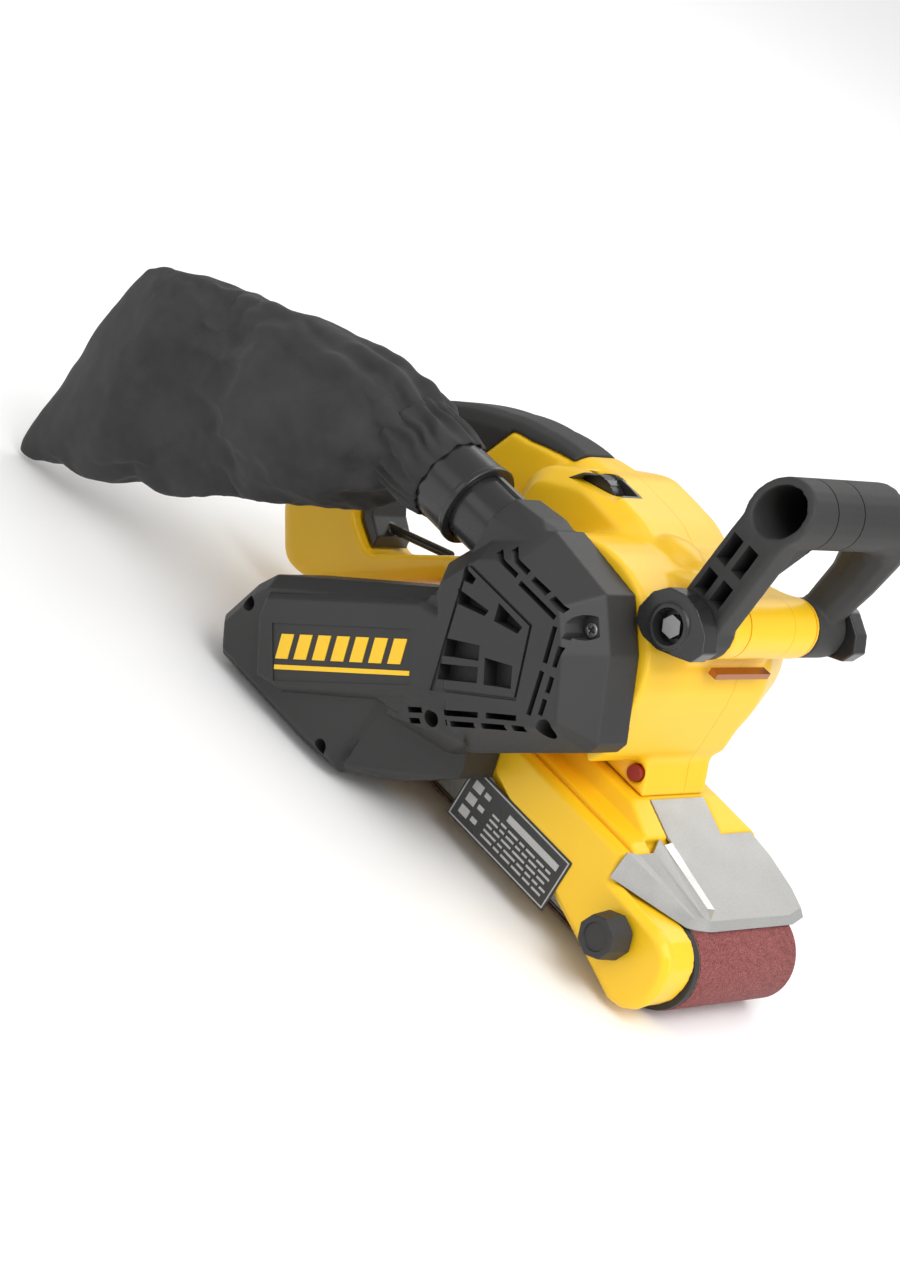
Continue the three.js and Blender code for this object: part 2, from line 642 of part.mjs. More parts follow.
// ---- Front handle ----
function frontHandle() {
  const tube = disc(GRIP_X, GRIP_Z, ARM_NEAR, BOSS_FAR, GRIP_RADIUS);
  const nearArm = sideSolid([
    [PIVOT_X - 13, PIVOT_Z - 4, 8], [PIVOT_X + 13, PIVOT_Z - 4, 8],
    [GRIP_X + 14, GRIP_Z - 4], [GRIP_X - 12, GRIP_Z - 4],
  ], ARM_NEAR, BOSS_NEAR - 0.6 - GAP, 2);
  const nearHub = disc(PIVOT_X, PIVOT_Z, ARM_NEAR, BOSS_NEAR - GAP, 15);
  const bend = [
    [GRIP_X, 10, GRIP_Z], [GRIP_X, 24, GRIP_Z - 3], [GRIP_X - 1, 33, GRIP_Z - 14],
    [GRIP_X - 2, 34, GRIP_Z - 34], [PIVOT_X, 29, PIVOT_Z + 6],
  ];
  const bendRadius = [GRIP_RADIUS, GRIP_RADIUS, 15, 12, 10];
  const farArm = bend.slice(1).map((point, index) => (
    hull([...ballPoints(bend[index], bendRadius[index]), ...ballPoints(point, bendRadius[index + 1])])
  ));
  const farHub = disc(PIVOT_X, PIVOT_Z, BOSS_FAR + GAP, ARM_FAR, 14);
  const pockets = [0, 1].flatMap((column) => [0, 1].map((row) => {
    const x0 = PIVOT_X - 9 + 11.5 * column;
    const z0 = PIVOT_Z + 18 + 20 * row;
    const lean = 1.5 * row;
    return box(x0 + lean, x0 + 9.5 + lean, -69, -58, z0, z0 + 17);
  }));
  return cut(join([tube, nearArm, nearHub, ...farArm, farHub]), [
    disc(GRIP_X, GRIP_Z, -70, 6, 12),
    disc(PIVOT_X, PIVOT_Z, -80, 60, 4 + GAP, 4 + GAP, 20),
    box(0, 80, BOSS_NEAR - GAP, BOSS_FAR + GAP, PIVOT_Z - 30, PIVOT_Z + 15.5),
    box(0, 80, ARM_FAR, ARM_FAR + 20, PIVOT_Z - 30, PIVOT_Z + 20),
    ...pockets,
  ]);
}

function ballPoints([x, y, z], radius) {
  const sphere = new THREE.IcosahedronGeometry(radius, 1);
  const place = sphere.attributes.position;
  return Array.from({ length: place.count }, (_, index) => [
    x + place.getX(index), y + place.getY(index), z + place.getZ(index),
  ]);
}

function clampBolt() {
  const shank = disc(PIVOT_X, PIVOT_Z, ARM_NEAR - 14, ARM_FAR + 11, 4);
  return join([shank, disc(PIVOT_X, PIVOT_Z, ARM_NEAR - 16, ARM_NEAR - 12, 6.5, 6.5, 6)]);
}

function wingKnob(y0, y1, bore) {
  const shape = [
    [PIVOT_X - 17, PIVOT_Z + 4, 8], [PIVOT_X - 12, PIVOT_Z - 13, 7], [PIVOT_X + 10, PIVOT_Z - 15, 5],
    [PIVOT_X + 16, PIVOT_Z - 3, 5], [PIVOT_X + 8, PIVOT_Z + 13, 8], [PIVOT_X - 8, PIVOT_Z + 14, 8],
  ];
  return sideSolid(shape, y0, y1, 2.5).subtract(disc(PIVOT_X, PIVOT_Z, y0 - 2, y1 + 2, bore, bore, 20));
}

// The near knob stands clear of the drive cover on a round neck.
function nearKnob() {
  const wing = wingKnob(ARM_NEAR - 14, HOUSING_NEAR - 1, 6.9);
  return wing.add(ring(PIVOT_X, PIVOT_Z, HOUSING_NEAR - 2, ARM_NEAR - GAP, 12, 6.9));
}

function trackingKnob() {
  const back = SKIRT_OUTER - GAP;
  const body = disc(TRACKING.x, TRACKING.z, -83, back, 9.2, 10.2);
  const lobes = circle(TRACKING.x, TRACKING.z, 8.6, 6).map(([x, z]) => disc(x, z, -80, back, 3.2, 3.2, 12));
  const stem = disc(TRACKING.x, TRACKING.z, -70, -52, 3, 3, 16);
  return join([body, ...lobes, stem]);
}

// ---- Motor and drive ----
function shaft(x, z, y0, y1, radius) {
  return disc(x, z, y0, y1, radius, radius, 20);
}

function coolingFan() {
  const hub = ring(MOTOR_X, MOTOR_Z, -58, -46, 9, 5 + GAP, 20);
  const plate = ring(MOTOR_X, MOTOR_Z, -48.5, -46.5, 38, 6);
  const blades = Array.from({ length: 9 }, (_, index) => {
    const geometry = new THREE.BoxGeometry(29, 9.4, 1.6);
    geometry.translate(21.5, 0, 0);
    geometry.rotateY((2 * Math.PI * index) / 9);
    geometry.translate(MOTOR_X, -53, MOTOR_Z);
    return toSolid(geometry);
  });
  return join([hub, plate, ...blades]);
}

function armatureCore() {
  const core = ring(MOTOR_X, MOTOR_Z, -30, 20, 24, 5 + GAP);
  const slots = circle(MOTOR_X, MOTOR_Z, 24, 12).map(([x, z]) => disc(x, z, -31, 21, 1.5, 1.5, 6));
  return cut(core, slots);
}

function pulley(x, z, radius, bore) {
  const wheel = ring(x, z, -97, -85, radius, bore);
  const flange = ring(x, z, -85.5, -84, radius + 1, bore);
  return join([wheel, flange]);
}

// The belt's loop: two rounds and the straight runs that touch both.
function driveLoop(clearance, y0, y1) {
  const rounds = [
    [MOTOR_X, MOTOR_Z, MOTOR_PULLEY_RADIUS + clearance],
    [REAR_AXLE, AXLE_HEIGHT, DRIVEN_PULLEY_RADIUS + clearance],
  ];
  const points = rounds.flatMap(([x, z, radius]) => circle(x, z, radius, 24));
  return hull([y0, y1].flatMap((y) => points.map(([x, z]) => [x, y, z])));
}

function toothedBelt() {
  const outer = driveLoop(GAP + TOOTHED_BELT_THICKNESS, -96, -86.2);
  return outer.subtract(driveLoop(GAP, -97, -85));
}

// ---- Assembly ----
const sander = new THREE.Group();

function place(name, solid, material) {
  const mesh = new THREE.Mesh(toGeometry(solid), material);
  mesh.name = name;
  sander.add(mesh);
}

place('side_skirt', sideSkirt(), yellow);
place('deck', deck(), yellow);
place('belt_frame', beltFrame(), castAluminium);
place('front_plate', frontPlate(), silver);
place('name_label', box(LABEL.x0, LABEL.x1, SKIRT_OUTER, SKIRT_OUTER + 0.5, LABEL.z0, LABEL.z1), gloss);
place('sanding_belt', sandingBelt(), abrasive);
place('platen_sheet', platen(1.3, 2.3, 66), steel);
place('cork_pad', platen(2.6, 5.7, 64), cork);

place('housing_near', housingHalf(true), yellow);
place('housing_far', housingHalf(false), yellow);
place('grip_overmold', gripOvermold(), rubber);
place('loop_liner', loopLiner(), gloss);
place('stop_bar', box(36.5, 41.5, -32, 10, 138.5, 141.7), copper);
place('red_plug', bar([PLUG.x, -37.5, PLUG.z], [PLUG.x, -28, PLUG.z], 4, 4, 20), red);
place('cord_gland', cordGland(), rubber);

place('trigger', trigger(), gloss);
place('lock_button', bar([LOCK.x, 8, LOCK.z], [LOCK.x, 19, LOCK.z], LOCK.radius, LOCK.radius, 20), gloss);
place('switch_body', box(-149, -124, -8, 2.5, 137, 147), gloss);
place('speed_board', box(-88, -58, -10, 6, 136, 138), circuit);
place('speed_dial', speedDial(), gloss);

place('drive_cover', driveCover(), black);
COVER_SCREWS.forEach((screw, index) => place(`cover_screw_${index + 1}`, coverScrew(screw), steel));
place('dust_duct', dustDuct(), black);
place('dust_collar', dustCollar(), gloss);
place('dust_bag', dustBag(), fabric);

place('front_handle', frontHandle(), rubber);
place('clamp_bolt', clampBolt(), steel);
place('near_clamp_knob', nearKnob(), gloss);
place('far_clamp_knob', wingKnob(ARM_FAR + GAP, ARM_FAR + 10, 4 + GAP), gloss);

place('tracking_knob', trackingKnob(), black);

place('drive_roller', roller(REAR_AXLE, 5 + GAP), rubber);
place('drive_shaft', shaft(REAR_AXLE, AXLE_HEIGHT, -97.5, 36, 5), steel);
place('drive_bearing', ring(REAR_AXLE, AXLE_HEIGHT, -60, -48, 13, 5 + GAP), steel);
place('driven_pulley', pulley(REAR_AXLE, AXLE_HEIGHT, DRIVEN_PULLEY_RADIUS, 5 + GAP), steel);
place('toothed_belt', toothedBelt(), rubber);
place('idler_roller', roller(FRONT_AXLE, 4 + GAP), castAluminium);
place('idler_axle', shaft(FRONT_AXLE, AXLE_HEIGHT, -40.5, 40.5, 4), steel);
place('idler_yoke', idlerYoke(), steel);
place('tension_spring', tensionSpring(), steel);
place('tension_lever', sideSolid([[48, 15, 3], [48, 29, 3], [-6, 27, 4], [-6, 18, 4]], 38.6, 43, 1), silver);

place('motor_stator', ring(MOTOR_X, MOTOR_Z, -28, 18, 44, 25.5, 24), steel);
place('armature_core', armatureCore(), copper);
place('armature_shaft', shaft(MOTOR_X, MOTOR_Z, -98, 54, 5), steel);
place('commutator', ring(MOTOR_X, MOTOR_Z, 24, 40, 12, 5 + GAP), copper);
place('cooling_fan', coolingFan(), black);
place('bearing_near', ring(MOTOR_X, MOTOR_Z, -74, -65, 13, 5 + GAP), steel);
place('bearing_far', ring(MOTOR_X, MOTOR_Z, 47, 55, 9.5, 5 + GAP), steel);
place('motor_pulley', pulley(MOTOR_X, MOTOR_Z, MOTOR_PULLEY_RADIUS, 5 + GAP), steel);
place('brush_upper', box(MOTOR_X - 4, MOTOR_X + 4, 28, 36, MOTOR_Z + 12.4, MOTOR_Z + 28), gloss);
place('brush_lower', box(MOTOR_X - 4, MOTOR_X + 4, 28, 36, MOTOR_Z - 28, MOTOR_Z - 12.4), gloss);

export default sander;
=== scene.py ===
import json
import math
import random

import bmesh
import bpy
from mathutils import Matrix, Vector, noise


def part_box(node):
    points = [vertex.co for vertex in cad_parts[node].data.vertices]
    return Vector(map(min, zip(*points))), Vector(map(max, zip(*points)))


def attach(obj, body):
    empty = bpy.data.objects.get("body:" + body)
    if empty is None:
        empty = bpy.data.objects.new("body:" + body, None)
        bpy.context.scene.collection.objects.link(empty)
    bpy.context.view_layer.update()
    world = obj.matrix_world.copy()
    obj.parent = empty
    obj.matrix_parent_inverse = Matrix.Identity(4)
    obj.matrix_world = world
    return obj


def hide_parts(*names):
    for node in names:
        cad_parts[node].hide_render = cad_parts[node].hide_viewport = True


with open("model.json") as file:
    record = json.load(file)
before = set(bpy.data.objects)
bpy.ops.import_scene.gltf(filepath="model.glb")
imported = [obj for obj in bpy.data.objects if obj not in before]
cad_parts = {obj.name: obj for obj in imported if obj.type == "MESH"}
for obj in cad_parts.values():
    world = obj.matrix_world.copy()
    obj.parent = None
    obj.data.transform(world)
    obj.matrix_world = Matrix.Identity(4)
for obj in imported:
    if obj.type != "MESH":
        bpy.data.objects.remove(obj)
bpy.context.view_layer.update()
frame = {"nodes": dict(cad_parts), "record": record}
nodes = frame["nodes"]

MM = 0.001                              # shapes are written in millimetres


# ---- camera, floor, light

CAMERA_PLACE = Vector((774.8, -1366.9, 728.4)) * MM
CAMERA_RIGHT = Vector((0.60981, 0.63417, 0.47536))
CAMERA_UP = Vector((-0.61322, -0.00244, 0.78991))
LENS = 102.5


def add_camera():
    data = bpy.data.cameras.new("camera")
    data.lens = LENS
    data.sensor_width = 36
    data.clip_start = 0.05
    data.clip_end = 50
    camera = bpy.data.objects.new("camera", data)
    bpy.context.scene.collection.objects.link(camera)
    back = CAMERA_RIGHT.cross(CAMERA_UP)
    turn = Matrix((CAMERA_RIGHT, CAMERA_UP, back)).transposed()
    camera.matrix_world = Matrix.Translation(CAMERA_PLACE) @ turn.to_4x4()
    bpy.context.scene.camera = camera


FLOOR_REACH = 40
FLOOR_DROP = 0.0002                     # keeps the floor just clear of the sole
LIGHT_AIM = Vector((-0.05, -0.02, 0.1))
SOFTBOXES = [                           # name, place, width and height, power
    ("key", (0.9, -0.7, 1.6), (0.9, 0.9), 11),
    ("front", (1.6, 0.3, 0.9), (0.9, 1.2), 7.5),
    ("fill", (-0.6, -1.7, 0.9), (1.4, 0.9), 3.5),
    ("rim", (-0.5, 1.3, 1.1), (1.2, 0.8), 6),
]
SKY_STRENGTH = 1.0
SKY_SPREAD = 60
WORLD_STRENGTH = 0.56


def add_lamp(name, kind, power):
    data = bpy.data.lights.new(name, kind)
    data.energy = power
    lamp = bpy.data.objects.new(name, data)
    bpy.context.scene.collection.objects.link(lamp)
    return lamp


def add_stage():
    corners = [(-1, -1), (1, -1), (1, 1), (-1, 1)]
    mesh = bpy.data.meshes.new("floor")
    mesh.from_pydata([(x * FLOOR_REACH, y * FLOOR_REACH, 0) for x, y in corners], [], [(0, 1, 2, 3)])
    floor = add_mesh_object("floor", mesh)
    mesh.materials.append(new_material("floor_paint", (0.95, 0.95, 0.95), 0.8)[0])
    floor.location.z = -FLOOR_DROP


def add_lights():
    for name, place, size, power in SOFTBOXES:
        lamp = add_lamp(name, "AREA", power)
        lamp.data.shape = "RECTANGLE"
        lamp.data.size, lamp.data.size_y = size
        lamp.location = place
        lamp.rotation_euler = (LIGHT_AIM - Vector(place)).to_track_quat("-Z", "Y").to_euler()
    sky = add_lamp("sky", "SUN", SKY_STRENGTH)
    sky.data.angle = math.radians(SKY_SPREAD)
    sky.rotation_euler = (0, math.radians(20), math.radians(-30))
    world = bpy.data.worlds.new("studio")
    world.use_nodes = True
    background = world.node_tree.nodes["Background"]
    background.inputs["Color"].default_value = (1, 1, 1, 1)
    background.inputs["Strength"].default_value = WORLD_STRENGTH
    bpy.context.scene.world = world
    bpy.context.scene.view_settings.view_transform = "Standard"


# ---- materials

def new_material(name, colour, roughness, metallic=0.0):
    material = bpy.data.materials.new(name)
    material.use_nodes = True
    shader = material.node_tree.nodes["Principled BSDF"]
    shader.inputs["Base Color"].default_value = (*colour, 1)
    shader.inputs["Roughness"].default_value = roughness
    shader.inputs["Metallic"].default_value = metallic
    material.diffuse_color = (*colour, 1)
    return material, shader


def node(material, kind, **values):
    made = material.node_tree.nodes.new(kind)
    for key, value in values.items():
        if key in made.inputs:
            made.inputs[key].default_value = value
        else:
            setattr(made, key, value)
    return made


def link(material, source, target):
    material.node_tree.links.new(source, target)


def object_coordinates(material):
    return node(material, "ShaderNodeTexCoord").outputs["Object"]


def noise_field(material, scale, detail=3.0, roughness=0.55, coordinates=None):
    field = node(material, "ShaderNodeTexNoise", Scale=scale, Detail=detail, Roughness=roughness)
    link(material, coordinates or object_coordinates(material), field.inputs["Vector"])
    return field.outputs["Fac"]


def spread(material, value, low, high, out_low, out_high):
    scaled = node(material, "ShaderNodeMapRange")
    for key, number in zip(("From Min", "From Max", "To Min", "To Max"), (low, high, out_low, out_high)):
        scaled.inputs[key].default_value = number
    link(material, value, scaled.inputs["Value"])
    return scaled.outputs["Result"]


def mix_sockets(material):
    """A colour mix node with its factor, two colours and result."""
    mix = node(material, "ShaderNodeMix", data_type="RGBA")
    colours = [socket for socket in mix.inputs if socket.type == "RGBA"]
    factor = [socket for socket in mix.inputs if socket.type == "VALUE"][0]
    result = [socket for socket in mix.outputs if socket.type == "RGBA"][0]
    return factor, colours[0], colours[1], result


def add_bump(material, shader, height, strength, distance):
    bump = node(material, "ShaderNodeBump", Strength=strength, Distance=distance)
    link(material, height, bump.inputs["Height"])
    link(material, bump.outputs["Normal"], shader.inputs["Normal"])


def two_tone(material, shader, field, low, high, first, second):
    """Base colour that goes from the first colour to the second as the field goes from low to high."""
    factor, colour_a, colour_b, result = mix_sockets(material)
    link(material, spread(material, field, low, high, 0, 1), factor)
    colour_a.default_value = (*first, 1)
    colour_b.default_value = (*second, 1)
    link(material, result, shader.inputs["Base Color"])


def scaled_colour(colour, amount):
    return tuple(min(1.0, channel * amount) for channel in colour)


def shade_range(material, shader, field, colour, darkest, lightest, low=0.3, high=0.7):
    """One colour, made darker and lighter along the field."""
    first, second = scaled_colour(colour, darkest), scaled_colour(colour, lightest)
    two_tone(material, shader, field, low, high, first, second)


def moulded_plastic(name, colour, roughness, grain, depth, mottling=0.05, specular=0.5):
    """Moulded plastic: an even colour, slightly clouded, under a fine spark-eroded grain."""
    material, shader = new_material(name, colour, roughness)
    shader.inputs["Specular IOR Level"].default_value = specular
    cloud = noise_field(material, 14, detail=2)
    shade_range(material, shader, cloud, colour, 1 - mottling, 1 + mottling)
    fine = noise_field(material, grain, detail=2, roughness=0.6)
    add_bump(material, shader, fine, 0.35, depth)
    sheen = spread(material, fine, 0.3, 0.7, roughness - 0.04, roughness + 0.05)
    link(material, sheen, shader.inputs["Roughness"])
    return material


def brushed_metal(name, colour, roughness, along):
    """Metal with fine drawn lines along one direction."""
    material, shader = new_material(name, colour, roughness, 1.0)
    stretch = node(material, "ShaderNodeMapping")
    stretch.inputs["Scale"].default_value = along
    link(material, object_coordinates(material), stretch.inputs["Vector"])
    lines = noise_field(material, 400, detail=4, coordinates=stretch.outputs["Vector"])
    shade_range(material, shader, lines, colour, 0.9, 1.06)
    sheen = spread(material, lines, 0.3, 0.7, roughness - 0.06, roughness + 0.08)
    link(material, sheen, shader.inputs["Roughness"])
    add_bump(material, shader, lines, 0.15, 0.0001)
    return material


def cast_metal(name, colour, roughness):
    """Cast metal with a lumpy, slightly stained surface."""
    material, shader = new_material(name, colour, roughness, 1.0)
    lumps = noise_field(material, 700, detail=4)
    shade_range(material, shader, lumps, colour, 0.82, 1.1)
    add_bump(material, shader, lumps, 0.5, 0.0003)
    return material


def silver_paint(name):
    """Satin silver paint on the pressed front plate: fine flakes, a soft sheen and faint handling marks."""
    colour = (0.45, 0.45, 0.44)
    material, shader = new_material(name, colour, 0.38, 0.55)
    flakes = noise_field(material, 2600, detail=1)
    shade_range(material, shader, flakes, colour, 0.86, 1.14, 0.25, 0.75)
    marks = noise_field(material, 60, detail=5)
    link(material, spread(material, marks, 0.3, 0.7, 0.32, 0.48), shader.inputs["Roughness"])
    add_bump(material, shader, flakes, 0.12, 0.00005)
    return material


def abrasive_grit(name):
    """Coated abrasive: dark red resin with packed grains, some catching the light."""
    material, shader = new_material(name, (0.2, 0.055, 0.055), 0.75)
    grains = node(material, "ShaderNodeTexVoronoi", Scale=1500.0)
    link(material, object_coordinates(material), grains.inputs["Vector"])
    clusters = noise_field(material, 380, detail=4, roughness=0.7)
    total = node(material, "ShaderNodeMath", operation="ADD")
    link(material, grains.outputs["Distance"], total.inputs[0])
    link(material, clusters, total.inputs[1])
    result = total.outputs["Value"]
    two_tone(material, shader, result, 0.45, 1.35, (0.1, 0.022, 0.022), (0.36, 0.11, 0.105))
    add_bump(material, shader, result, 0.9, 0.0006)
    shader.inputs["Specular IOR Level"].default_value = 0.35
    return material


def woven_cloth(name):
    """Black nylon: a fine plain weave, a dusty clouding and a soft sheen."""
    colour = (0.033, 0.032, 0.0325)
    material, shader = new_material(name, colour, 0.82)
    coordinates = object_coordinates(material)
    threads = []
    for direction in ((1, 0, 0.35), (-0.35, 0, 1)):
        turn = node(material, "ShaderNodeMapping")
        axis = Vector(direction).normalized()
        turn.inputs["Rotation"].default_value = (0, math.atan2(-axis.z, axis.x), 0)
        link(material, coordinates, turn.inputs["Vector"])
        wave = node(material, "ShaderNodeTexWave", Scale=520.0, Distortion=0.6)
        wave.inputs["Detail"].default_value = 1.0
        link(material, turn.outputs["Vector"], wave.inputs["Vector"])
        threads.append(wave.outputs["Fac"])
    weave = node(material, "ShaderNodeMath", operation="MULTIPLY")
    link(material, threads[0], weave.inputs[0])
    link(material, threads[1], weave.inputs[1])
    cloud = noise_field(material, 34, detail=5, roughness=0.6)
    shade_range(material, shader, cloud, colour, 0.8, 1.45, 0.3, 0.75)
    add_bump(material, shader, weave.outputs["Value"], 0.3, 0.00025)
    shader.inputs["Sheen Weight"].default_value = 0.06
    shader.inputs["Sheen Roughness"].default_value = 0.5
    shader.inputs["Specular IOR Level"].default_value = 0.3
    return material


def cork_board(name):
    """Pressed cork: packed brown grains."""
    material, shader = new_material(name, (0.35, 0.2, 0.1), 0.9)
    grains = noise_field(material, 500, detail=5, roughness=0.7)
    two_tone(material, shader, grains, 0.35, 0.65, (0.16, 0.08, 0.04), (0.45, 0.28, 0.15))
    add_bump(material, shader, grains, 0.6, 0.0004)
    return material


YELLOW = (0.93, 0.56, 0.012)
BLACK = (0.027, 0.0265, 0.0262)

materials = {}


def make_materials():
    materials.update({
        "yellow_plastic": moulded_plastic("yellow_abs", YELLOW, 0.36, 1900, 0.00006, 0.03),
        "black_plastic": moulded_plastic("black_nylon", BLACK, 0.5, 1500, 0.00012, 0.1, 0.4),
        "gloss_black": moulded_plastic("gloss_black_abs", (0.02, 0.02, 0.02), 0.26, 45, 0.000004, 0.08),
        "rubber_grip": moulded_plastic("soft_rubber", (0.030, 0.029, 0.0285), 0.6, 1300, 0.00014, 0.12, 0.35),
        "red_plastic": moulded_plastic("red_abs", (0.26, 0.012, 0.003), 0.4, 1500, 0.00005),
        "bag_fabric": woven_cloth("bag_cloth"),
        "silver_plate": silver_paint("plate_silver"),
        "steel": brushed_metal("turned_steel", (0.3, 0.3, 0.3), 0.36, (1, 0.06, 1)),
        "cast_aluminium": cast_metal("cast_alloy", (0.5, 0.5, 0.49), 0.5),
        "copper": brushed_metal("copper_wire", (0.45, 0.2, 0.1), 0.4, (1, 0.05, 1)),
        "abrasive": abrasive_grit("red_abrasive"),
        "cork": cork_board("cork_board"),
        "circuit": moulded_plastic("circuit_board", (0.02, 0.12, 0.05), 0.4, 600, 0.0001),
    })


# ---- mesh work

SHARP_ANGLE = 38                        # degrees: edges steeper than this stay crisp
WELD_DISTANCE = 2e-6


def add_mesh_object(name, mesh):
    made = bpy.data.objects.new(name, mesh)
    bpy.context.scene.collection.objects.link(made)
    return made


def duplicate(thing, name):
    return add_mesh_object(name, thing.data.copy())


def copy_of(name, *sources):
    """One mesh with the CAD nodes' shapes, with its coincident corners welded."""
    work = bmesh.new()
    for source in sources:
        work.from_mesh(nodes[source].data)
    bmesh.ops.remove_doubles(work, verts=work.verts, dist=WELD_DISTANCE)
    mesh = bpy.data.meshes.new(name)
    work.to_mesh(mesh)
    work.free()
    mesh.materials.clear()
    return add_mesh_object(name, mesh)


def apply_modifiers(thing):
    bpy.context.view_layer.update()
    graph = bpy.context.evaluated_depsgraph_get()
    mesh = bpy.data.meshes.new_from_object(thing.evaluated_get(graph))
    old = thing.data
    thing.modifiers.clear()
    thing.data = mesh
    bpy.data.meshes.remove(old)


def combine(thing, tools, operation):
    """Joins, cuts or intersects a solid with the tools, which are used up."""
    for tool in tools:
        step = thing.modifiers.new(operation, "BOOLEAN")
        step.operation = operation
        step.solver = "MANIFOLD"
        step.object = tool
    apply_modifiers(thing)
    for tool in tools:
        bpy.data.objects.remove(tool)


def soften(thing, voxel, rounds):
    """Gives a solid the rolled edges of a moulding: fine even mesh (voxel in millimetres), then smoothing."""
    remesh = thing.modifiers.new("remesh", "REMESH")
    remesh.mode = "VOXEL"
    remesh.voxel_size = voxel * MM
    smooth = thing.modifiers.new("smooth", "SMOOTH")
    smooth.factor = 0.5
    smooth.iterations = rounds
    apply_modifiers(thing)
    shade(thing)


def shade(thing):
    for face in thing.data.polygons:
        face.use_smooth = True


def crisp(thing):
    """Smooth shading that keeps steep edges sharp."""
    shade(thing)
    thing.data.set_sharp_from_angle(angle=math.radians(SHARP_ANGLE))


def paint(thing, slot):
    thing.data.materials.clear()
    thing.data.materials.append(materials[slot])


replaced_nodes = set()


def ride_as(thing, body, *replaced, slot):
    """Paints a finished piece, hangs it on its body and names the CAD nodes that it stands for."""
    paint(thing, slot)
    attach(thing, body)
    if replaced:
        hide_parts(*replaced)
        replaced_nodes.update(replaced)


def tidy_cad(name, slot, bevel):
    """A CAD node that stays: welded, its edges broken by a small bevel, and its own material."""
    thing = nodes[name]
    thing.data.materials.clear()
    thing.data.materials.append(materials[slot])
    shade(thing)
    weld = thing.modifiers.new("weld", "WELD")
    weld.merge_threshold = WELD_DISTANCE
    edge = thing.modifiers.new("bevel", "BEVEL")
    edge.width = bevel * MM
    edge.segments = 2
    edge.limit_method = "ANGLE"
    edge.angle_limit = math.radians(SHARP_ANGLE)
    edge.use_clamp_overlap = True
    normals = thing.modifiers.new("normals", "WEIGHTED_NORMAL")
    normals.keep_sharp = True


def node_slots():
    return {part["node"]: part["material_slot"] for part in frame["record"]["subparts"]}


# ---- shapes from outlines

def from_bmesh(name, work):
    bmesh.ops.recalc_face_normals(work, faces=work.faces)
    mesh = bpy.data.meshes.new(name)
    work.to_mesh(mesh)
    work.free()
    return add_mesh_object(name, mesh)


def hull_of(name, points):
    """The convex solid round points given in millimetres."""
    work = bmesh.new()
    for point in points:
        work.verts.new(Vector(point) * MM)
    made = bmesh.ops.convex_hull(work, input=work.verts)
    spare = {item for item in made["geom_interior"] + made["geom_unused"]
             if isinstance(item, bmesh.types.BMVert)}
    bmesh.ops.delete(work, geom=list(spare), context="VERTS")
    return from_bmesh(name, work)


def level(outline, y, inset=0.0):
    """An XZ outline at depth y, each edge of a convex outline moved in by inset."""
    return [(x, y, z) for x, z in shrunk(outline, inset)]


def shrunk(outline, distance):
    """A convex outline with every edge moved in by the distance."""
    count = len(outline)
    middle = Vector((sum(x for x, z in outline) / count, sum(z for x, z in outline) / count))
    edges = []
    for index, point in enumerate(outline):
        start = Vector(point)
        along = (Vector(outline[(index + 1) % count]) - start).normalized()
        normal = Vector((-along.y, along.x))
        if normal.dot(middle - start) > 0:
            normal.negate()
        edges.append((normal, normal.dot(start) - distance))
    corners = []
    for index in range(count):
        before, reach_before = edges[index - 1]
        after, reach_after = edges[index]
        scale = before.x * after.y - before.y * after.x
        corners.append((
            (reach_before * after.y - reach_after * before.y) / scale,
            (before.x * reach_after - after.x * reach_before) / scale,
        ))
    return corners


def frustum(name, base, base_y, top, top_y):
    """The convex solid between two XZ outlines at their depths."""
    return hull_of(name, level(base, base_y) + level(top, top_y))


def prism(name, outline, y0, y1):
    """An XZ outline carried along Y, in millimetres."""
    work = bmesh.new()
    near = [work.verts.new((x * MM, y0 * MM, z * MM)) for x, z in outline]
    far = [work.verts.new((x * MM, y1 * MM, z * MM)) for x, z in outline]
    work.faces.new(near)
    work.faces.new(far[::-1])
    for index in range(len(outline)):
        after = (index + 1) % len(outline)
        work.faces.new((near[index], near[after], far[after], far[index]))
    return from_bmesh(name, work)


def block(name, low, high):
    """A box between two opposite corners."""
    (x0, y0, z0), (x1, y1, z1) = low, high
    return prism(name, [(x0, z0), (x1, z0), (x1, z1), (x0, z1)], y0, y1)


def round_bar(name, start, end, radius, end_radius=None, sides=48):
    """A straight round bar between two points, in millimetres."""
    start, end = Vector(start), Vector(end)
    turn = (end - start).to_track_quat("Z", "Y").to_matrix()
    end_radius = radius if end_radius is None else end_radius
    work = bmesh.new()
    rims = []
    for centre, size in ((start, radius), (end, end_radius)):
        angles = [2 * math.pi * step / sides for step in range(sides)]
        places = [centre + turn @ Vector((size * math.cos(a), size * math.sin(a), 0)) for a in angles]
        rims.append([work.verts.new(place * MM) for place in places])
    work.faces.new(rims[0])
    work.faces.new(rims[1][::-1])
    for index in range(sides):
        after = (index + 1) % sides
        work.faces.new((rims[0][index], rims[0][after], rims[1][after], rims[1][index]))
    return from_bmesh(name, work)


def slot_tool(start, end, width, y0, y1):
    """A cutter for a straight slot between two XZ points."""
    start, end = Vector(start), Vector(end)
    side = (end - start).normalized().orthogonal() * width / 2
    return prism("slot", [start + side, end + side, end - side, start - side], y0, y1)


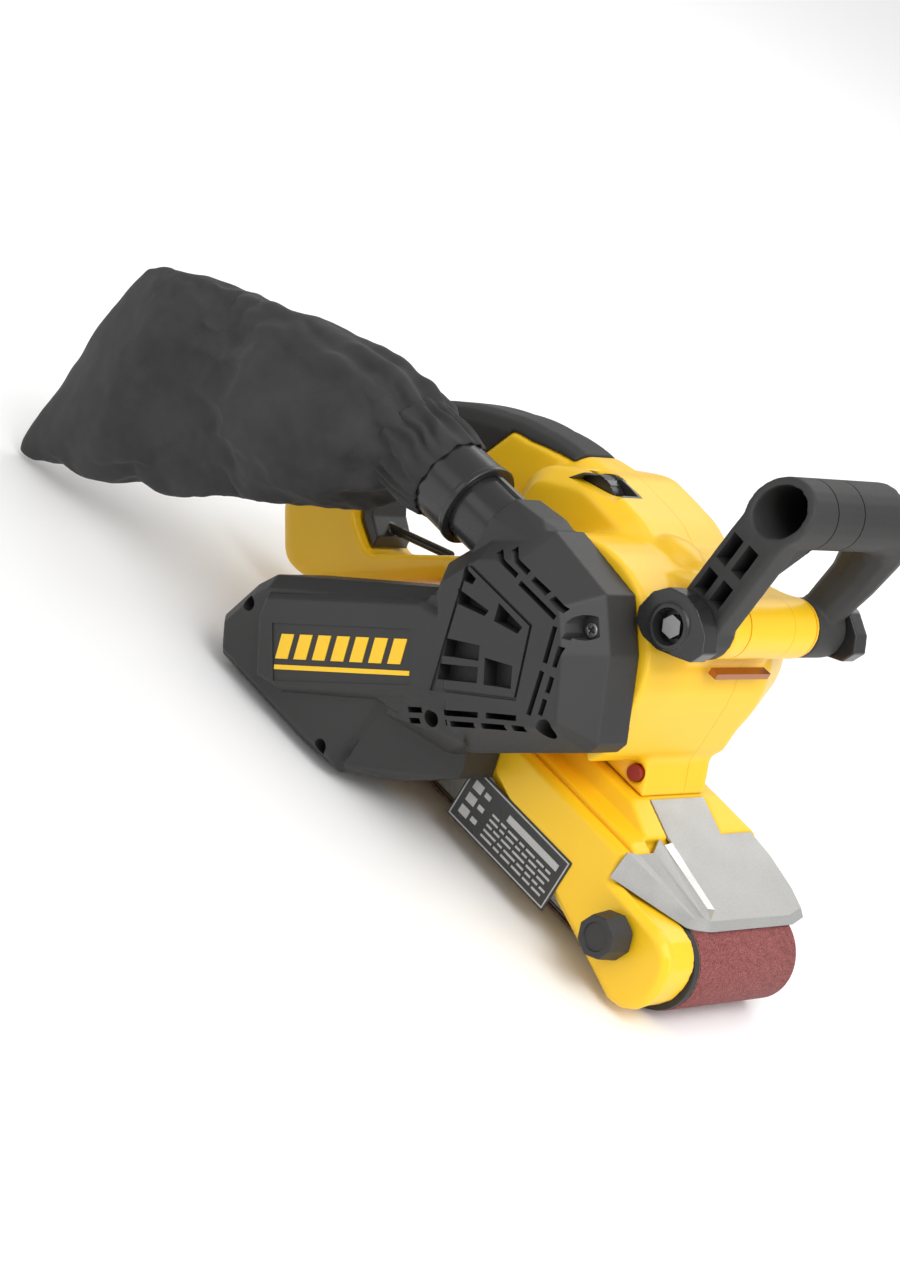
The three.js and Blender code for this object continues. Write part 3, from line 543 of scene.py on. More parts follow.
def turned(name, profile, centre, axis="X", sides=96):
    """A body turned round an axis from (position, radius) pairs; the profile closes on itself."""
    work = bmesh.new()
    rings = []
    for step in range(sides):
        angle = 2 * math.pi * step / sides
        ring = []
        for place, radius in profile:
            across, up = radius * math.cos(angle), radius * math.sin(angle)
            offset = Vector((place, across, up)) if axis == "X" else Vector((across, place, up))
            ring.append(work.verts.new((Vector(centre) + offset) * MM))
        rings.append(ring)
    count = len(profile)
    for step in range(sides):
        here, there = rings[step], rings[(step + 1) % sides]
        for index in range(count):
            after = (index + 1) % count
            work.faces.new((here[index], here[after], there[after], there[index]))
    thing = from_bmesh(name, work)
    shade(thing)
    return thing


def edge_break(thing, width, angle=30):
    """Rounds the edges steeper than the angle by a width in millimetres."""
    bevel = thing.modifiers.new("bevel", "BEVEL")
    bevel.width = width * MM
    bevel.segments = 3
    bevel.limit_method = "ANGLE"
    bevel.angle_limit = math.radians(angle)
    normals = thing.modifiers.new("normals", "WEIGHTED_NORMAL")
    normals.keep_sharp = True
    shade(thing)


# ---- yellow shells

SPLIT_Y = -3.0                          # the seam between the housing halves
SEAM_GAP = 0.12                         # each half stays this far from the seam
MOTOR = (-12.0, 118.0)                  # the motor's axis, as x and z
PIVOT = (34.7, 163.3)                   # the front handle's axis
DIAL_WINDOW = [(-77.5, 164), (-74, 169.5), (-67.5, 174), (-59, 177), (-50, 178), (-49.5, 170.5)]
HANDLE_TOP = [(-60, 172), (-91, 168.5), (-117, 164.5), (-141, 157), (-168, 144), (-190, 128)]
HANDLE_SWELL = 0.9                      # how far the middle of each stretch of the top line is lifted
HANDLE_HALF_WIDTH = 30
SWELL_DEPTH = 22                        # the lift fades out this far below the top line


def dome(name, centre, radii, rings=8, sides=24):
    """An ellipsoid as a convex solid."""
    points = []
    for ring in range(rings + 1):
        rise = math.pi * ring / rings - math.pi / 2
        for side in range(sides):
            turn = 2 * math.pi * side / sides
            way = (math.cos(rise) * math.cos(turn), math.cos(rise) * math.sin(turn), math.sin(rise))
            points.append(tuple(place + radius * part for place, radius, part in zip(centre, radii, way)))
    return hull_of(name, points)


def round_top(thing):
    """Lifts the middle of each straight stretch of the handle's top line, so that it runs as one curve."""
    for corner in thing.data.vertices:
        x, z = corner.co.x / MM, corner.co.z / MM
        for (front_x, front_z), (rear_x, rear_z) in zip(HANDLE_TOP, HANDLE_TOP[1:]):
            if rear_x <= x < front_x and abs(corner.co.y) < HANDLE_HALF_WIDTH * MM:
                along = (front_x - x) / (front_x - rear_x)
                depth = front_z + (rear_z - front_z) * along - z
                near_top = max(0.0, 1 - depth / SWELL_DEPTH) if depth > -4 else 0.0
                corner.co.z += 4 * along * (1 - along) * HANDLE_SWELL * near_top * MM


def build_dial_well(moulding):
    """The black bezel let into the housing round the speed wheel, flush with the moulding.

    Its outside is the window's outline less a clearance. Its inside is an arch that is open below and in front.
    """
    clearance, wall, floor_y = 0.15, 1.1, -19.4
    well = duplicate(moulding, "dial_well")
    combine(well, [prism("rim", shrunk(DIAL_WINDOW, clearance), -60, -17)], "INTERSECT")
    arch = shrunk(DIAL_WINDOW, wall)[:-1]
    opening = [*arch, (arch[-1][0], 173), (-47, 172), (-47, 160), (-90, 152)]
    combine(well, [prism("hollow", opening, -60, floor_y)], "DIFFERENCE")
    crisp(well)
    ride_as(well, "machine", slot="gloss_black")


def boss_groove(start, end, depth):
    """A cutter for a groove round the front handle's boss, between two places along Y."""
    x, z = PIVOT
    return turned("groove", [(start, depth), (start, 20), (end, 20), (end, depth)], (x, 0, z), "Y")


def build_housing():
    """The two housing halves, smoothed as one moulding and then parted along the seam."""
    far = copy_of("housing_far_copy", "housing_far")
    seam_reach, overlap = 0.16, 0.6     # the far half's seam face is drawn into the near half, to join them
    for corner in far.data.vertices:
        if corner.co.y < (SPLIT_Y + seam_reach) * MM:
            corner.co.y = (SPLIT_Y - overlap) * MM
    whole = copy_of("housing_whole", "housing_near")
    swell = dome("swell", (-14, -22, 165), (15, 14, 9))
    combine(whole, [far, swell], "UNION")
    soften(whole, 1.1, 24)
    round_top(whole)
    boss_rings = [boss_groove(-38.2, -37.2, 13.2), boss_groove(14, 15, 13.4)]
    screw_pit = round_bar("screw_pit", (-117, -34, 133.5), (-117, -14, 133.5), 5.2, 4.2)
    window = prism("dial_window", DIAL_WINDOW, -40, -18)
    build_dial_well(whole)
    combine(whole, [*boss_rings, screw_pit, window], "DIFFERENCE")
    for side, low, high in (("near", -120, SPLIT_Y - SEAM_GAP), ("far", SPLIT_Y + SEAM_GAP, 120)):
        half = duplicate(whole, f"housing_{side}_shell")
        combine(half, [block("half", (-300, low, -20), (120, high, 300))], "INTERSECT")
        crisp(half)
        ride_as(half, "machine", f"housing_{side}", slot="yellow_plastic")
    bpy.data.objects.remove(whole)


def softened_copy(name, source, body, slot, voxel, rounds, reshape=None):
    """A CAD node's moulding: its own shape with rolled edges."""
    thing = copy_of(name, source)
    soften(thing, voxel, rounds)
    if reshape:
        reshape(thing)
    ride_as(thing, body, source, slot=slot)


def build_skirt_and_deck():
    softened_copy("skirt_shell", "side_skirt", "machine", "yellow_plastic", 0.8, 8)
    softened_copy("deck_shell", "deck", "machine", "yellow_plastic", 0.8, 6)


# ---- sanding belt and rollers

AXLE_Z = 22.5
FRONT_X = 99.5                          # the front axle; the rear one is at -FRONT_X
BELT_OUTSIDE = 22.5
ROLLER_PROFILE = [(-37, 20.4), (-36, 21.2), (36, 21.2), (37, 20.4)]


def racetrack(radius, steps=48):
    """The belt's side view: two half circles joined by straight runs, as XZ points."""
    points = []
    for centre, start in ((FRONT_X, -90), (-FRONT_X, 90)):
        for step in range(steps + 1):
            angle = math.radians(start + 180 * step / steps)
            points.append((centre + radius * math.cos(angle), AXLE_Z + radius * math.sin(angle)))
    return points


def looped_band(name, outer, inner, y0, y1):
    """A closed band round both rollers, between two radii."""
    work = bmesh.new()
    rings = [[work.verts.new((x * MM, y * MM, z * MM)) for x, z in racetrack(radius)]
             for radius, y in ((outer, y0), (outer, y1), (inner, y1), (inner, y0))]
    count = len(rings[0])
    for here, there in zip(rings, rings[1:] + rings[:1]):
        for index in range(count):
            after = (index + 1) % count
            work.faces.new((here[index], here[after], there[after], there[index]))
    return from_bmesh(name, work)


def build_belt():
    """The grit belt with its cloth backing, the dark guard at the nose and both rollers."""
    belt = looped_band("grit_belt", BELT_OUTSIDE, 21.5, -38, 38)
    shade(belt)
    rim = belt.modifiers.new("edges", "BEVEL")
    rim.width = 0.25 * MM
    rim.angle_limit = math.radians(50)
    ride_as(belt, "machine", "sanding_belt", slot="abrasive")
    backing = looped_band("belt_backing", 21.9, 21.35, -38.35, 38.35)
    crisp(backing)
    ride_as(backing, "machine", slot="cork")
    guard = looped_band("belt_guard", 22.2, 18.6, -42.4, -38.4)
    combine(guard, [block("front_part", (62, -60, -10), (140, 0, 60))], "INTERSECT")
    edge_break(guard, 0.5)
    ride_as(guard, "machine", slot="rubber_grip")
    for name, x, bore, body, source, slot in (
        ("front_roller", FRONT_X, 4.3, "idler", "idler_roller", "cast_aluminium"),
        ("rear_roller", -FRONT_X, 5.3, "drive_unit", "drive_roller", "rubber_grip"),
    ):
        roller = turned(name, [(-37, bore), *ROLLER_PROFILE, (37, bore)], (x, 0, AXLE_Z), "Y")
        edge_break(roller, 0.3)
        ride_as(roller, body, source, slot=slot)


# ---- front plate

TAB_START, TAB_HEIGHT, TAB_SLOPE = 45, 72, 0.4
NOSE_START, NOSE_SLOPE = 63.6, 0.42


def plate_surface(x, y, lift=0.0):
    """A point on the plate's sloping top, which falls a little faster over the nose than over the tab."""
    z = TAB_HEIGHT - TAB_SLOPE * (min(x, NOSE_START) - TAB_START) - NOSE_SLOPE * max(0, x - NOSE_START)
    return (x, y, z + lift)


def build_plate():
    """The pressed plate over the nose: a sloping sheet with a tab, a creased side wing and a front lip."""
    work = bmesh.new()

    def corners(*places):
        return [work.verts.new(Vector(place) * MM) for place in places]

    tab = corners(plate_surface(45.4, -28.7), plate_surface(45.4, 12.7), plate_surface(NOSE_START, 12.7),
                  plate_surface(NOSE_START, -28.7))
    flap_low = corners((70.7, -68.2, 49.6), (103.4, -42.6, 45.9))
    flap_top = corners((71.2, -67.4, 64.4), (100.2, -35.6, 48.2))
    shelf = corners((71.2, -57, 62.4), (99.9, -33.2, 48.0))
    foot = corners((71.2, -46.6, 62.9), (100.6, -30.8, 48.2))
    step = corners((64.2, -36.2, 64.5), plate_surface(101.7, -28.4, 0.2))
    valley = corners((65.6, -31.6, 62.0), plate_surface(96.5, -21.6, -1.2))
    crease = corners(plate_surface(66.4, -28.4, 0.5), plate_surface(98.4, -18.9, 0.6))
    strips = [flap_low, flap_top, shelf, foot, step, valley, crease]
    for here, there in zip(strips[:4], strips[1:5]):
        work.faces.new((here[0], there[0], there[1], here[1]))
    far_edge = corners(*[plate_surface(x, y) for x, y in ((NOSE_START, 37), (75, 43.8), (91, 49.2))])
    brow = corners((103.1, -25.4, 48.1), (103.9, 37, 47.8), (100.4, 50.4, 48.6))
    work.faces.new(tab)
    work.faces.new((step[0], valley[0], valley[1], brow[0], step[1]))
    work.faces.new((valley[0], crease[0], crease[1], valley[1]))
    work.faces.new((valley[1], crease[1], brow[0]))
    work.faces.new((tab[3], tab[2], *far_edge, brow[2], brow[1], brow[0], crease[1], crease[0]))
    lip_low = corners((104.9, -37.6, 45.4), (105.6, -33.5, 45.2), (106.4, -29.6, 45.1), (107.1, -25.6, 45.1),
                      (107.5, 38.5, 45.1), (103.6, 51.6, 45.2))
    high = [shelf[1], foot[1], step[1], *brow]
    work.faces.new((flap_low[1], flap_top[1], shelf[1], lip_low[0]))
    for index in range(len(high) - 1):
        work.faces.new((high[index], high[index + 1], lip_low[index + 1], lip_low[index]))
    plate = from_bmesh("nose_plate", work)
    if sum(face.normal.z for face in plate.data.polygons) < 0:
        plate.data.flip_normals()
    solid = plate.modifiers.new("sheet", "SOLIDIFY")
    solid.thickness = 1.2 * MM
    solid.offset = -1
    edge_break(plate, 0.5, angle=12)
    ride_as(plate, "machine", "front_plate", slot="silver_plate")


# ---- drive cover

COVER_UPPER = [(-66, 104), (-71, 118), (-56, 147), (-31, 166), (9, 161), (27, 141), (46, 106), (44, 100),
               (-8, 58), (-20, 56)]
COVER_REAR = [(-146, 54.5), (-152.5, 44), (-161, 19), (-151, 3.5), (-88, 3), (-59, 5), (-52, 30), (-50, 60),
              (-60, 112)]
COVER_TOE = [(-60, 4.5), (-36, 18), (-9, 42), (-13, 56), (-60, 70)]
COVER_FACE = -116
UPPER_RIM = -75.3
REAR_RIM = -67.3
OUTSIDE = -120                          # cutters start here, clear of the face
RAISED_PANEL = [(-139, 49), (-137, 37), (-121, 14), (-105, 17), (-56.5, 50.5), (-28, 72), (-40, 108),
                (-62, 104)]
BRIDGE = ([(-72, 58), (-66, 112), (-40, 130), (-14, 100), (-30, 60)],
          [(-66, 60), (-60, 108), (-38, 124), (-20, 98), (-34, 64)])
CORNER = ([(-60, 44), (-66, 62), (-46, 84), (-24, 72), (-40, 46)],
          [(-56, 52), (-60, 62), (-46, 76), (-32, 70), (-44, 54)])
STEP = ([(-50, 56), (-52, 74), (-38, 94), (-12, 86), (-20, 64)],
        [(-46, 62), (-47, 72), (-36, 85), (-19, 81), (-26, 68)])
TOE_NOSE = [(-9.5, -92, 42), (-13.5, -92, 55), (-36.5, -94, 18.5), (-57, -108.5, 12), (-50, -108.5, 24),
            (-54, -108.5, 55), (-59, -100, 6)]
BAND = [(-50, -97, 44), (-50, -110, 47.5), (-50, -113.5, 56), (-18, -97, 50), (-8, -97, 60),
        (-12, -113.5, 78), (-44, -113.5, 62), (-6, -110, 66), (-46, -90, 43), (-14, -90, 52)]
DUCT = (0, -85, 143)                    # the dust duct's axis runs along X through this point
DUCT_HOOD = [(-103, 126), (-103, 152), (-94, 162.5), (-76, 162.5), (-67, 153), (-67, 126)]
VENT_FRAME = [(-50.3, 134.6), (-3.8, 134.3), (9.5, 102.2), (-32.3, 75.2)]
VENT_POCKETS = [
    [(-50.0, 131.5), (-41.5, 131.0), (-41.5, 127.7), (-47.5, 125.8)],
    [(-47.0, 121.5), (-27.0, 124.3), (-27.5, 120.8), (-43.5, 115.7)],
    [(-24.5, 130.5), (-7.5, 130.0), (-8.0, 126.0), (-22.0, 122.4)],
    [(-39.4, 99.5), (-21.6, 109.0), (-18.0, 103.1), (-36.0, 92.0)],
    [(-35.5, 88.0), (-16.5, 100.8), (-12.7, 94.7), (-32.3, 81.5)],
    [(-16.0, 106.5), (-1.5, 113.2), (4.0, 104.6), (-9.3, 96.5)],
]
SLOTS = [
    ((-41.9, 146.2), (-23.7, 146.0)), ((-37.0, 151.5), (-19.5, 150.8)), ((-20.8, 144.6), (4.4, 144.3)),
    ((-16.1, 150.3), (-5.7, 149.9)), ((-3.0, 149.7), (5.5, 149.0)), ((6.6, 141.4), (11.9, 125.3)),
    ((11.9, 143.9), (13.2, 139.4)), ((14.3, 136.2), (17.2, 127.1)), ((12.9, 121.6), (18.8, 101.7)),
    ((18.9, 123.0), (21.0, 115.8)), ((21.8, 112.9), (23.9, 105.6)), ((-38.7, 59.0), (-32.1, 63.9)),
    ((-21.2, 71.3), (-3.5, 83.9)), ((0.1, 86.6), (14.3, 96.3)), ((-36.3, 54.5), (-31.0, 58.5)),
    ((-18.4, 67.7), (-16.5, 69.2)), ((-13.6, 70.9), (-2.5, 78.8)), ((0.7, 81.2), (11.6, 88.8)),
    ((14.7, 91.2), (20.5, 95.0)),
]
SCREW_PITS = [(-147, 36.5, 3.6), (-71, 11.5, 3.6), (-26, 64, 4.0), (14, 146.5, 5.6), (29, 102, 4.4)]
BADGE = [(-126, 41), (-57.5, 90.5), (-42.5, 70), (-109, 20)]


def cover_blocks():
    """The cover's outer shape as overlapping convex blocks."""
    upper = level(COVER_UPPER, UPPER_RIM) + level(COVER_UPPER, -97) + level(COVER_UPPER, COVER_FACE, 13)
    rear = level(COVER_REAR, REAR_RIM) + level(COVER_REAR, -103.5) + level(COVER_REAR, -111, 6.5)
    toe = level(COVER_TOE, REAR_RIM) + TOE_NOSE
    panel = level(RAISED_PANEL, -108) + level(RAISED_PANEL, -113, 0.4) + level(RAISED_PANEL, COVER_FACE, 3)
    blocks = [hull_of(name, points) for name, points in (
        ("cover_shell", upper), ("rear", rear), ("toe", toe), ("panel", panel), ("band", BAND))]
    links = [frustum(name, base, base_y, top, top_y) for name, (base, top), base_y, top_y in (
        ("bridge", BRIDGE, -96, -112), ("corner", CORNER, -96, -113.6), ("step", STEP, -100, -114.8))]
    return blocks + links


def cover_hollows():
    upper = level(COVER_UPPER, -74, 3.5) + level(COVER_UPPER, -97, 5) + level(COVER_UPPER, -98.6, 9)
    return [
        hull_of("hollow", upper),
        hull_of("rear_hollow", level(COVER_REAR, -66, 3) + level(COVER_REAR, -98.6, 6)),
        hull_of("toe_hollow", level(COVER_TOE, -66, 3) + level(COVER_TOE, -88, 5)),
    ]


def motor_space():
    """A cutter that keeps the cover clear of the motor housing."""
    x, z = MOTOR
    return round_bar("motor_space", (x, UPPER_RIM, z), (x, -50, z), 50.3, sides=96)


def cover_details():
    """Cutters for the crisp details in the cover's face: slots, vents, screw pits, badge and frame groove."""
    tools = [slot_tool(start, end, 2.6, OUTSIDE, -101) for start, end in SLOTS]
    tools += [prism("pocket", outline, OUTSIDE, -107) for outline in VENT_POCKETS]
    tools += [round_bar("pit", (x, OUTSIDE, z), (x, -100.5, z), radius) for x, z, radius in SCREW_PITS]
    tools.append(prism("badge", BADGE, OUTSIDE, -115.4))
    groove = prism("groove", VENT_FRAME, OUTSIDE, -114.6)
    combine(groove, [prism("island", shrunk(VENT_FRAME, 1.5), -121, -110)], "DIFFERENCE")
    return [*tools, groove]


def build_cover():
    """The drive cover: one hollow moulding with a hood where the dust duct leaves it."""
    shell, *blocks = cover_blocks()
    combine(shell, blocks, "UNION")
    flange = block("flange", (-80, UPPER_RIM, 60), (60, -60, 180))
    combine(shell, [*cover_hollows(), motor_space(), flange], "DIFFERENCE")
    hood = hull_of("hood", [(-60, y, z) for y, z in DUCT_HOOD] + [(-42, y, z + 2) for y, z in DUCT_HOOD] + [
        (-22, -104, 160), (-22, -82, 164)])
    combine(shell, [hood], "UNION")
    duct_way = round_bar("duct_way", (-95, *DUCT[1:]), (-50, *DUCT[1:]), 17.4)
    combine(shell, [motor_space(), duct_way], "DIFFERENCE")
    soften(shell, 0.7, 5)
    combine(shell, cover_details(), "DIFFERENCE")
    crisp(shell)
    ride_as(shell, "machine", "drive_cover", slot="black_plastic")
    add_badge()


BADGE_START = Vector((-121, 38.6))
BADGE_ALONG = Vector((0.809, 0.588))
BADGE_DOWN = Vector((0.54, -0.842))
BAR_COUNT, BAR_PITCH, BAR_WIDTH, BAR_HEIGHT, BAR_LEAN = 7, 11.4, 7.6, 11.6, 3.2
STRIPE_DROP, STRIPE_LENGTH, STRIPE_WIDTH = 14.4, 82, 2.2


def badge_piece(name, outline):
    piece = prism(name, outline, -115.8, -115.2)
    edge_break(piece, 0.1)
    ride_as(piece, "machine", slot="yellow_plastic")


def add_badge():
    """Seven plain leaning bars over a stripe, in yellow."""
    across, down = BADGE_ALONG, BADGE_DOWN
    for index in range(BAR_COUNT):
        left = BADGE_START + across * (index * BAR_PITCH + 3.4)
        foot = left + down * BAR_HEIGHT - across * BAR_LEAN
        outline = [left, left + across * BAR_WIDTH, foot + across * BAR_WIDTH, foot]
        badge_piece(f"badge_bar_{index + 1}", outline)
    low = BADGE_START + down * STRIPE_DROP
    end = low + across * STRIPE_LENGTH
    badge_piece("badge_stripe", [low, end, end + down * STRIPE_WIDTH, low + down * STRIPE_WIDTH])


# ---- dust duct, collar and bag

NECK_X = -118                           # where the duct and the collar end and the bag begins
BAG_LENGTH = 192


def build_duct():
    """The duct with its rib, and the bag's collar that slides over it."""
    duct = turned("duct_tube", [(-51, 17), (-117.5, 17), (NECK_X, 16.6), (NECK_X, 14.8), (-51, 14.8)], DUCT)
    rib = block("rib", (-81, -86.6, 159.4), (-52, -83.4, 161.2))
    combine(duct, [rib], "UNION")
    edge_break(duct, 0.3)
    ride_as(duct, "machine", "dust_duct", slot="gloss_black")
    collar = turned("collar_tube", [
        (-80.5, 17.35), (-80.5, 20.6), (-81, 21), (-83, 21), (-83.5, 20.5), (-84.2, 20.3), (-117, 19.6),
        (NECK_X, 19.2), (NECK_X, 17.35),
    ], DUCT)
    edge_break(collar, 0.3)
    ride_as(collar, "dust_bag_body", "dust_collar", slot="gloss_black")


def gather_depth(place):
    """How deep the folds run at a point of the bag: deepest at the neck, fading along the bag."""
    along = (NECK_X * MM - place.x) / (BAG_LENGTH * MM)
    return max(0.0, 1.0 - along / 0.55) ** 1.6


def build_bag():
    """The cloth dust bag: inflated, drawn to its corners, creased, and gathered at the mouth."""
    bag = copy_of("cloth_bag", "dust_bag")
    remesh = bag.modifiers.new("remesh", "REMESH")
    remesh.mode = "VOXEL"
    remesh.voxel_size = 4.5 * MM
    apply_modifiers(bag)
    fill_with_air(bag)
    fine = bag.modifiers.new("fine", "SUBSURF")
    fine.levels = 2
    apply_modifiers(bag)
    draw_corners(bag)
    crumple(bag)
    combine(bag, [gathered_cuff()], "UNION")
    shade(bag)
    ride_as(bag, "dust_bag_body", "dust_bag", slot="bag_fabric")


BAG_FRAMES = 20
BAG_GROWTH = 9                          # the cloth may move this far from its start


def fill_with_air(bag):
    """Cloth simulation under pressure, with the neck held and the result kept in the mesh."""
    neck = bag.vertex_groups.new(name="neck")
    neck.add([corner.index for corner in bag.data.vertices if corner.co.x > -128 * MM], 1.0, "ADD")
    rest = [corner.co.copy() for corner in bag.data.vertices]
    cloth = bag.modifiers.new("cloth", "CLOTH")
    settings = cloth.settings
    settings.quality = 6
    settings.mass = 0.15
    settings.tension_stiffness = 12
    settings.compression_stiffness = 12
    settings.bending_stiffness = 0.3
    settings.use_pressure = True
    settings.uniform_pressure_force = 3
    settings.shrink_min = -0.1
    settings.vertex_group_mass = "neck"
    settings.effector_weights.gravity = 0
    cloth.collision_settings.use_collision = False
    scene = bpy.context.scene
    scene.frame_start = 1
    scene.frame_end = BAG_FRAMES
    for step in range(1, BAG_FRAMES + 1):
        scene.frame_set(step)
    apply_modifiers(bag)
    scene.frame_set(1)
    reach = BAG_GROWTH * MM
    for corner, start in zip(bag.data.vertices, rest):
        move = corner.co - start
        if move.length > reach:
            corner.co = start + move.normalized() * reach


BAG_PULLS = [                           # place, pull and reach
    ((-309, -102, 112), (11, 0, 9), 42),
    ((-309, -102, 8), (-7, -3, -3), 34),
    ((-262, -97, 30), (0, -3, -9), 46),
    ((-222, -92, 48), (3, 0, -7), 40),
]


def draw_corners(bag):
    """Pulls the far corners of the bag to points and lets its underside hang."""
    for corner in bag.data.vertices:
        shift = Vector((0, 0, 0))
        for place, pull, reach in BAG_PULLS:
            away = (corner.co / MM - Vector(place)).length / reach
            shift += Vector(pull) * math.exp(-2.2 * away * away)
        corner.co += shift * MM
        corner.co.z = max(corner.co.z, 1.0 * MM)


CUFF_START, CUFF_END = -132.0, -101.0
CUFF_FOLDS = 19
CUFF_SIDES, CUFF_ROWS = 240, 30


def gathered_cuff():
    """The bag's elastic mouth: cloth drawn into small folds round the collar's rear end."""
    sides, rows = CUFF_SIDES, CUFF_ROWS
    work = bmesh.new()
    rings = []
    for row in range(rows + 1):
        along = row / rows
        x = CUFF_START + (CUFF_END - CUFF_START) * along
        waist = 20.9 + 2.0 * math.sin(math.pi * along) ** 0.6 + 9.0 * max(0.0, 0.32 - along) ** 1.2
        ring = []
        for side in range(sides):
            turn = 2 * math.pi * side / sides
            way = Vector((0, math.cos(turn), math.sin(turn)))
            wander = 2.2 * noise.noise(way * 1.4 + Vector((x * 0.06, 3, 1)))
            small = noise.noise(way * 7 + Vector((x * 0.12, 0, 0)))
            fold = math.sin(turn * CUFF_FOLDS + wander * 2.5) + 0.5 * small
            lift = 1.5 * fold * (0.35 + 0.65 * math.sin(math.pi * min(1.0, along * 1.15)))
            drift = 1.1 * noise.noise(way * 2.4 + Vector((7, x * 0.02, 0)))
            place = Vector((x + drift * 2.0, DUCT[1], DUCT[2])) + way * (waist + lift)
            ring.append(work.verts.new(place * MM))
        rings.append(ring)
    for row in range(rows):
        for side in range(sides):
            after = (side + 1) % sides
            here, there = rings[row], rings[row + 1]
            work.faces.new((here[side], here[after], there[after], there[side]))
    cuff = from_bmesh("bag_cuff", work)
    if cuff.data.polygons[0].normal.dot(cuff.data.polygons[0].center - Vector(DUCT) * MM) < 0:
        cuff.data.flip_normals()
    solid = cuff.modifiers.new("cloth", "SOLIDIFY")
    solid.thickness = 0.8 * MM
    solid.offset = -1
    apply_modifiers(cuff)
    return cuff


BAG_CREASES = 9
CREASE_START, CREASE_FADE = -119, 12    # no creases under the cuff


def crumple(bag):
    """Long creases that run from the neck, and broad soft hollows over the sides."""
    neck = Vector((NECK_X, *DUCT[1:])) * MM
    bag.data.update()
    normals = [corner.normal.copy() for corner in bag.data.vertices]
    for corner, normal in zip(bag.data.vertices, normals):
        away = corner.co - neck
        round_angle = math.atan2(away.z, away.y + 0.0001)
        depth = gather_depth(corner.co)
        folds = math.sin(round_angle * BAG_CREASES + 5 * noise.noise(corner.co * 14))
        ripple = noise.noise(corner.co * 55) + 0.5 * noise.noise(corner.co * 120)
        broad = noise.noise(Vector((corner.co.x * 9, corner.co.y * 20, corner.co.z * 16)))
        past_neck = max(0.0, min(1.0, (CREASE_START * MM - corner.co.x) / (CREASE_FADE * MM)))
        push = past_neck * (depth * (3.0 * folds + 2.2 * ripple) + 3.0 * broad + 0.6 * ripple)
        corner.co += normal * push * MM


# ---- handles and knobs

GRIP = (39.6, 229.8)                    # the front handle's tube
ARM_FACE = -68
HANDLE_POCKETS = [((33.0, 211.5), (31.9, 197.0)), ((42.8, 211.5), (41.8, 197.0)),
                  ((31.6, 191.5), (30.7, 179.5)), ((41.4, 191.5), (40.5, 179.5))]
KNOB_OUTLINE = [(-19, -3.5), (-17, 6.5), (-11, 13.5), (-2, 16), (7, 14.6), (17, 8.4), (21.2, 1), (18, -6),
                (9, -9.5), (0, -12.6), (-9.5, -12.6), (-16.5, -9.5)]


def cad_box_of(name):
    """The low and high corners of a CAD node, in millimetres."""
    return (Vector(corner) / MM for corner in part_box(name))


def build_front_handle():
    """The front grip: a hollow tube whose near end opens upward, two arms and four moulded pockets."""
    x, z = GRIP
    front = copy_of("front_grip", "front_handle")
    fill = prism("arm_fill", [(24.5, 178), (47, 178), (51, 221), (29, 221)], ARM_FACE + 0.4, -57)
    web_side = ((-57, 194), (-36, 216), (-57, 217))
    web = hull_of("web", [(x0, y, z0) for x0 in (x - 10, x + 10) for y, z0 in web_side])
    combine(front, [fill, web], "UNION")
    slant = hull_of("slant", [(x0, y, z0) for x0 in (10, 70) for y, z0 in (
        (-90, z - 15), (ARM_FACE - 0.2, z - 15), (-53, z + 19), (-90, z + 19))])
    bore = round_bar("bore", (x, -75, z), (x, 8, z), 11.6)
    combine(front, [slant, bore], "DIFFERENCE")
    soften(front, 0.8, 14)
    tools = [turned("seam", [(y, 15.3), (y, 20), (y + 0.8, 20), (y + 0.8, 15.3)], (x, 0, z), "Y")
             for y in (-38.5, -17.5)]
    tools += [slot_tool(start, end, 6.6, ARM_FACE - 4, ARM_FACE + 14) for start, end in HANDLE_POCKETS]
    combine(front, tools, "DIFFERENCE")
    crisp(front)
    ride_as(front, "front_handle_body", "front_handle", slot="rubber_grip")


def wing_knob(name, source, body, y_face, y_back):
    """A one-eared clamp knob with a rounded wing and a deep round seat for the bolt."""
    outward = 1 if y_face > y_back else -1
    x, z = PIVOT
    outline = [(x + across, z + up) for across, up in KNOB_OUTLINE]
    low, high = sorted((y_face, y_back))
    knob = prism(name, outline, low, high)
    collar = round_bar("collar", (x, y_back, z), (x, y_face + 1.6 * outward, z), 12.4, 10.4)
    combine(knob, [collar], "UNION")
    soften(knob, 0.5, 8)
    seat = round_bar("seat", (x, y_face + 4 * outward, z), (x, y_face - 5.5 * outward, z), 8.8, 7.4)
    through = round_bar("through", (x, y_face + 9 * outward, z), (x, y_back - 9 * outward, z), 4.4)
    combine(knob, [seat, through], "DIFFERENCE")
    crisp(knob)
    ride_as(knob, body, source, slot="gloss_black")


def build_bolt():
    """The clamp bolt, its hexagon head sunk in the near knob's seat."""
    x, z = PIVOT
    low, high = cad_box_of("clamp_bolt")
    bolt = round_bar("clamp_bolt_turned", (x, -78, z), (x, high.y, z), 4)
    head = round_bar("head", (x, -79.2, z), (x, -75.4, z), 5.6, sides=6)
    combine(bolt, [head], "UNION")
    edge_break(bolt, 0.4)
    ride_as(bolt, "near_clamp", "clamp_bolt", slot="steel")


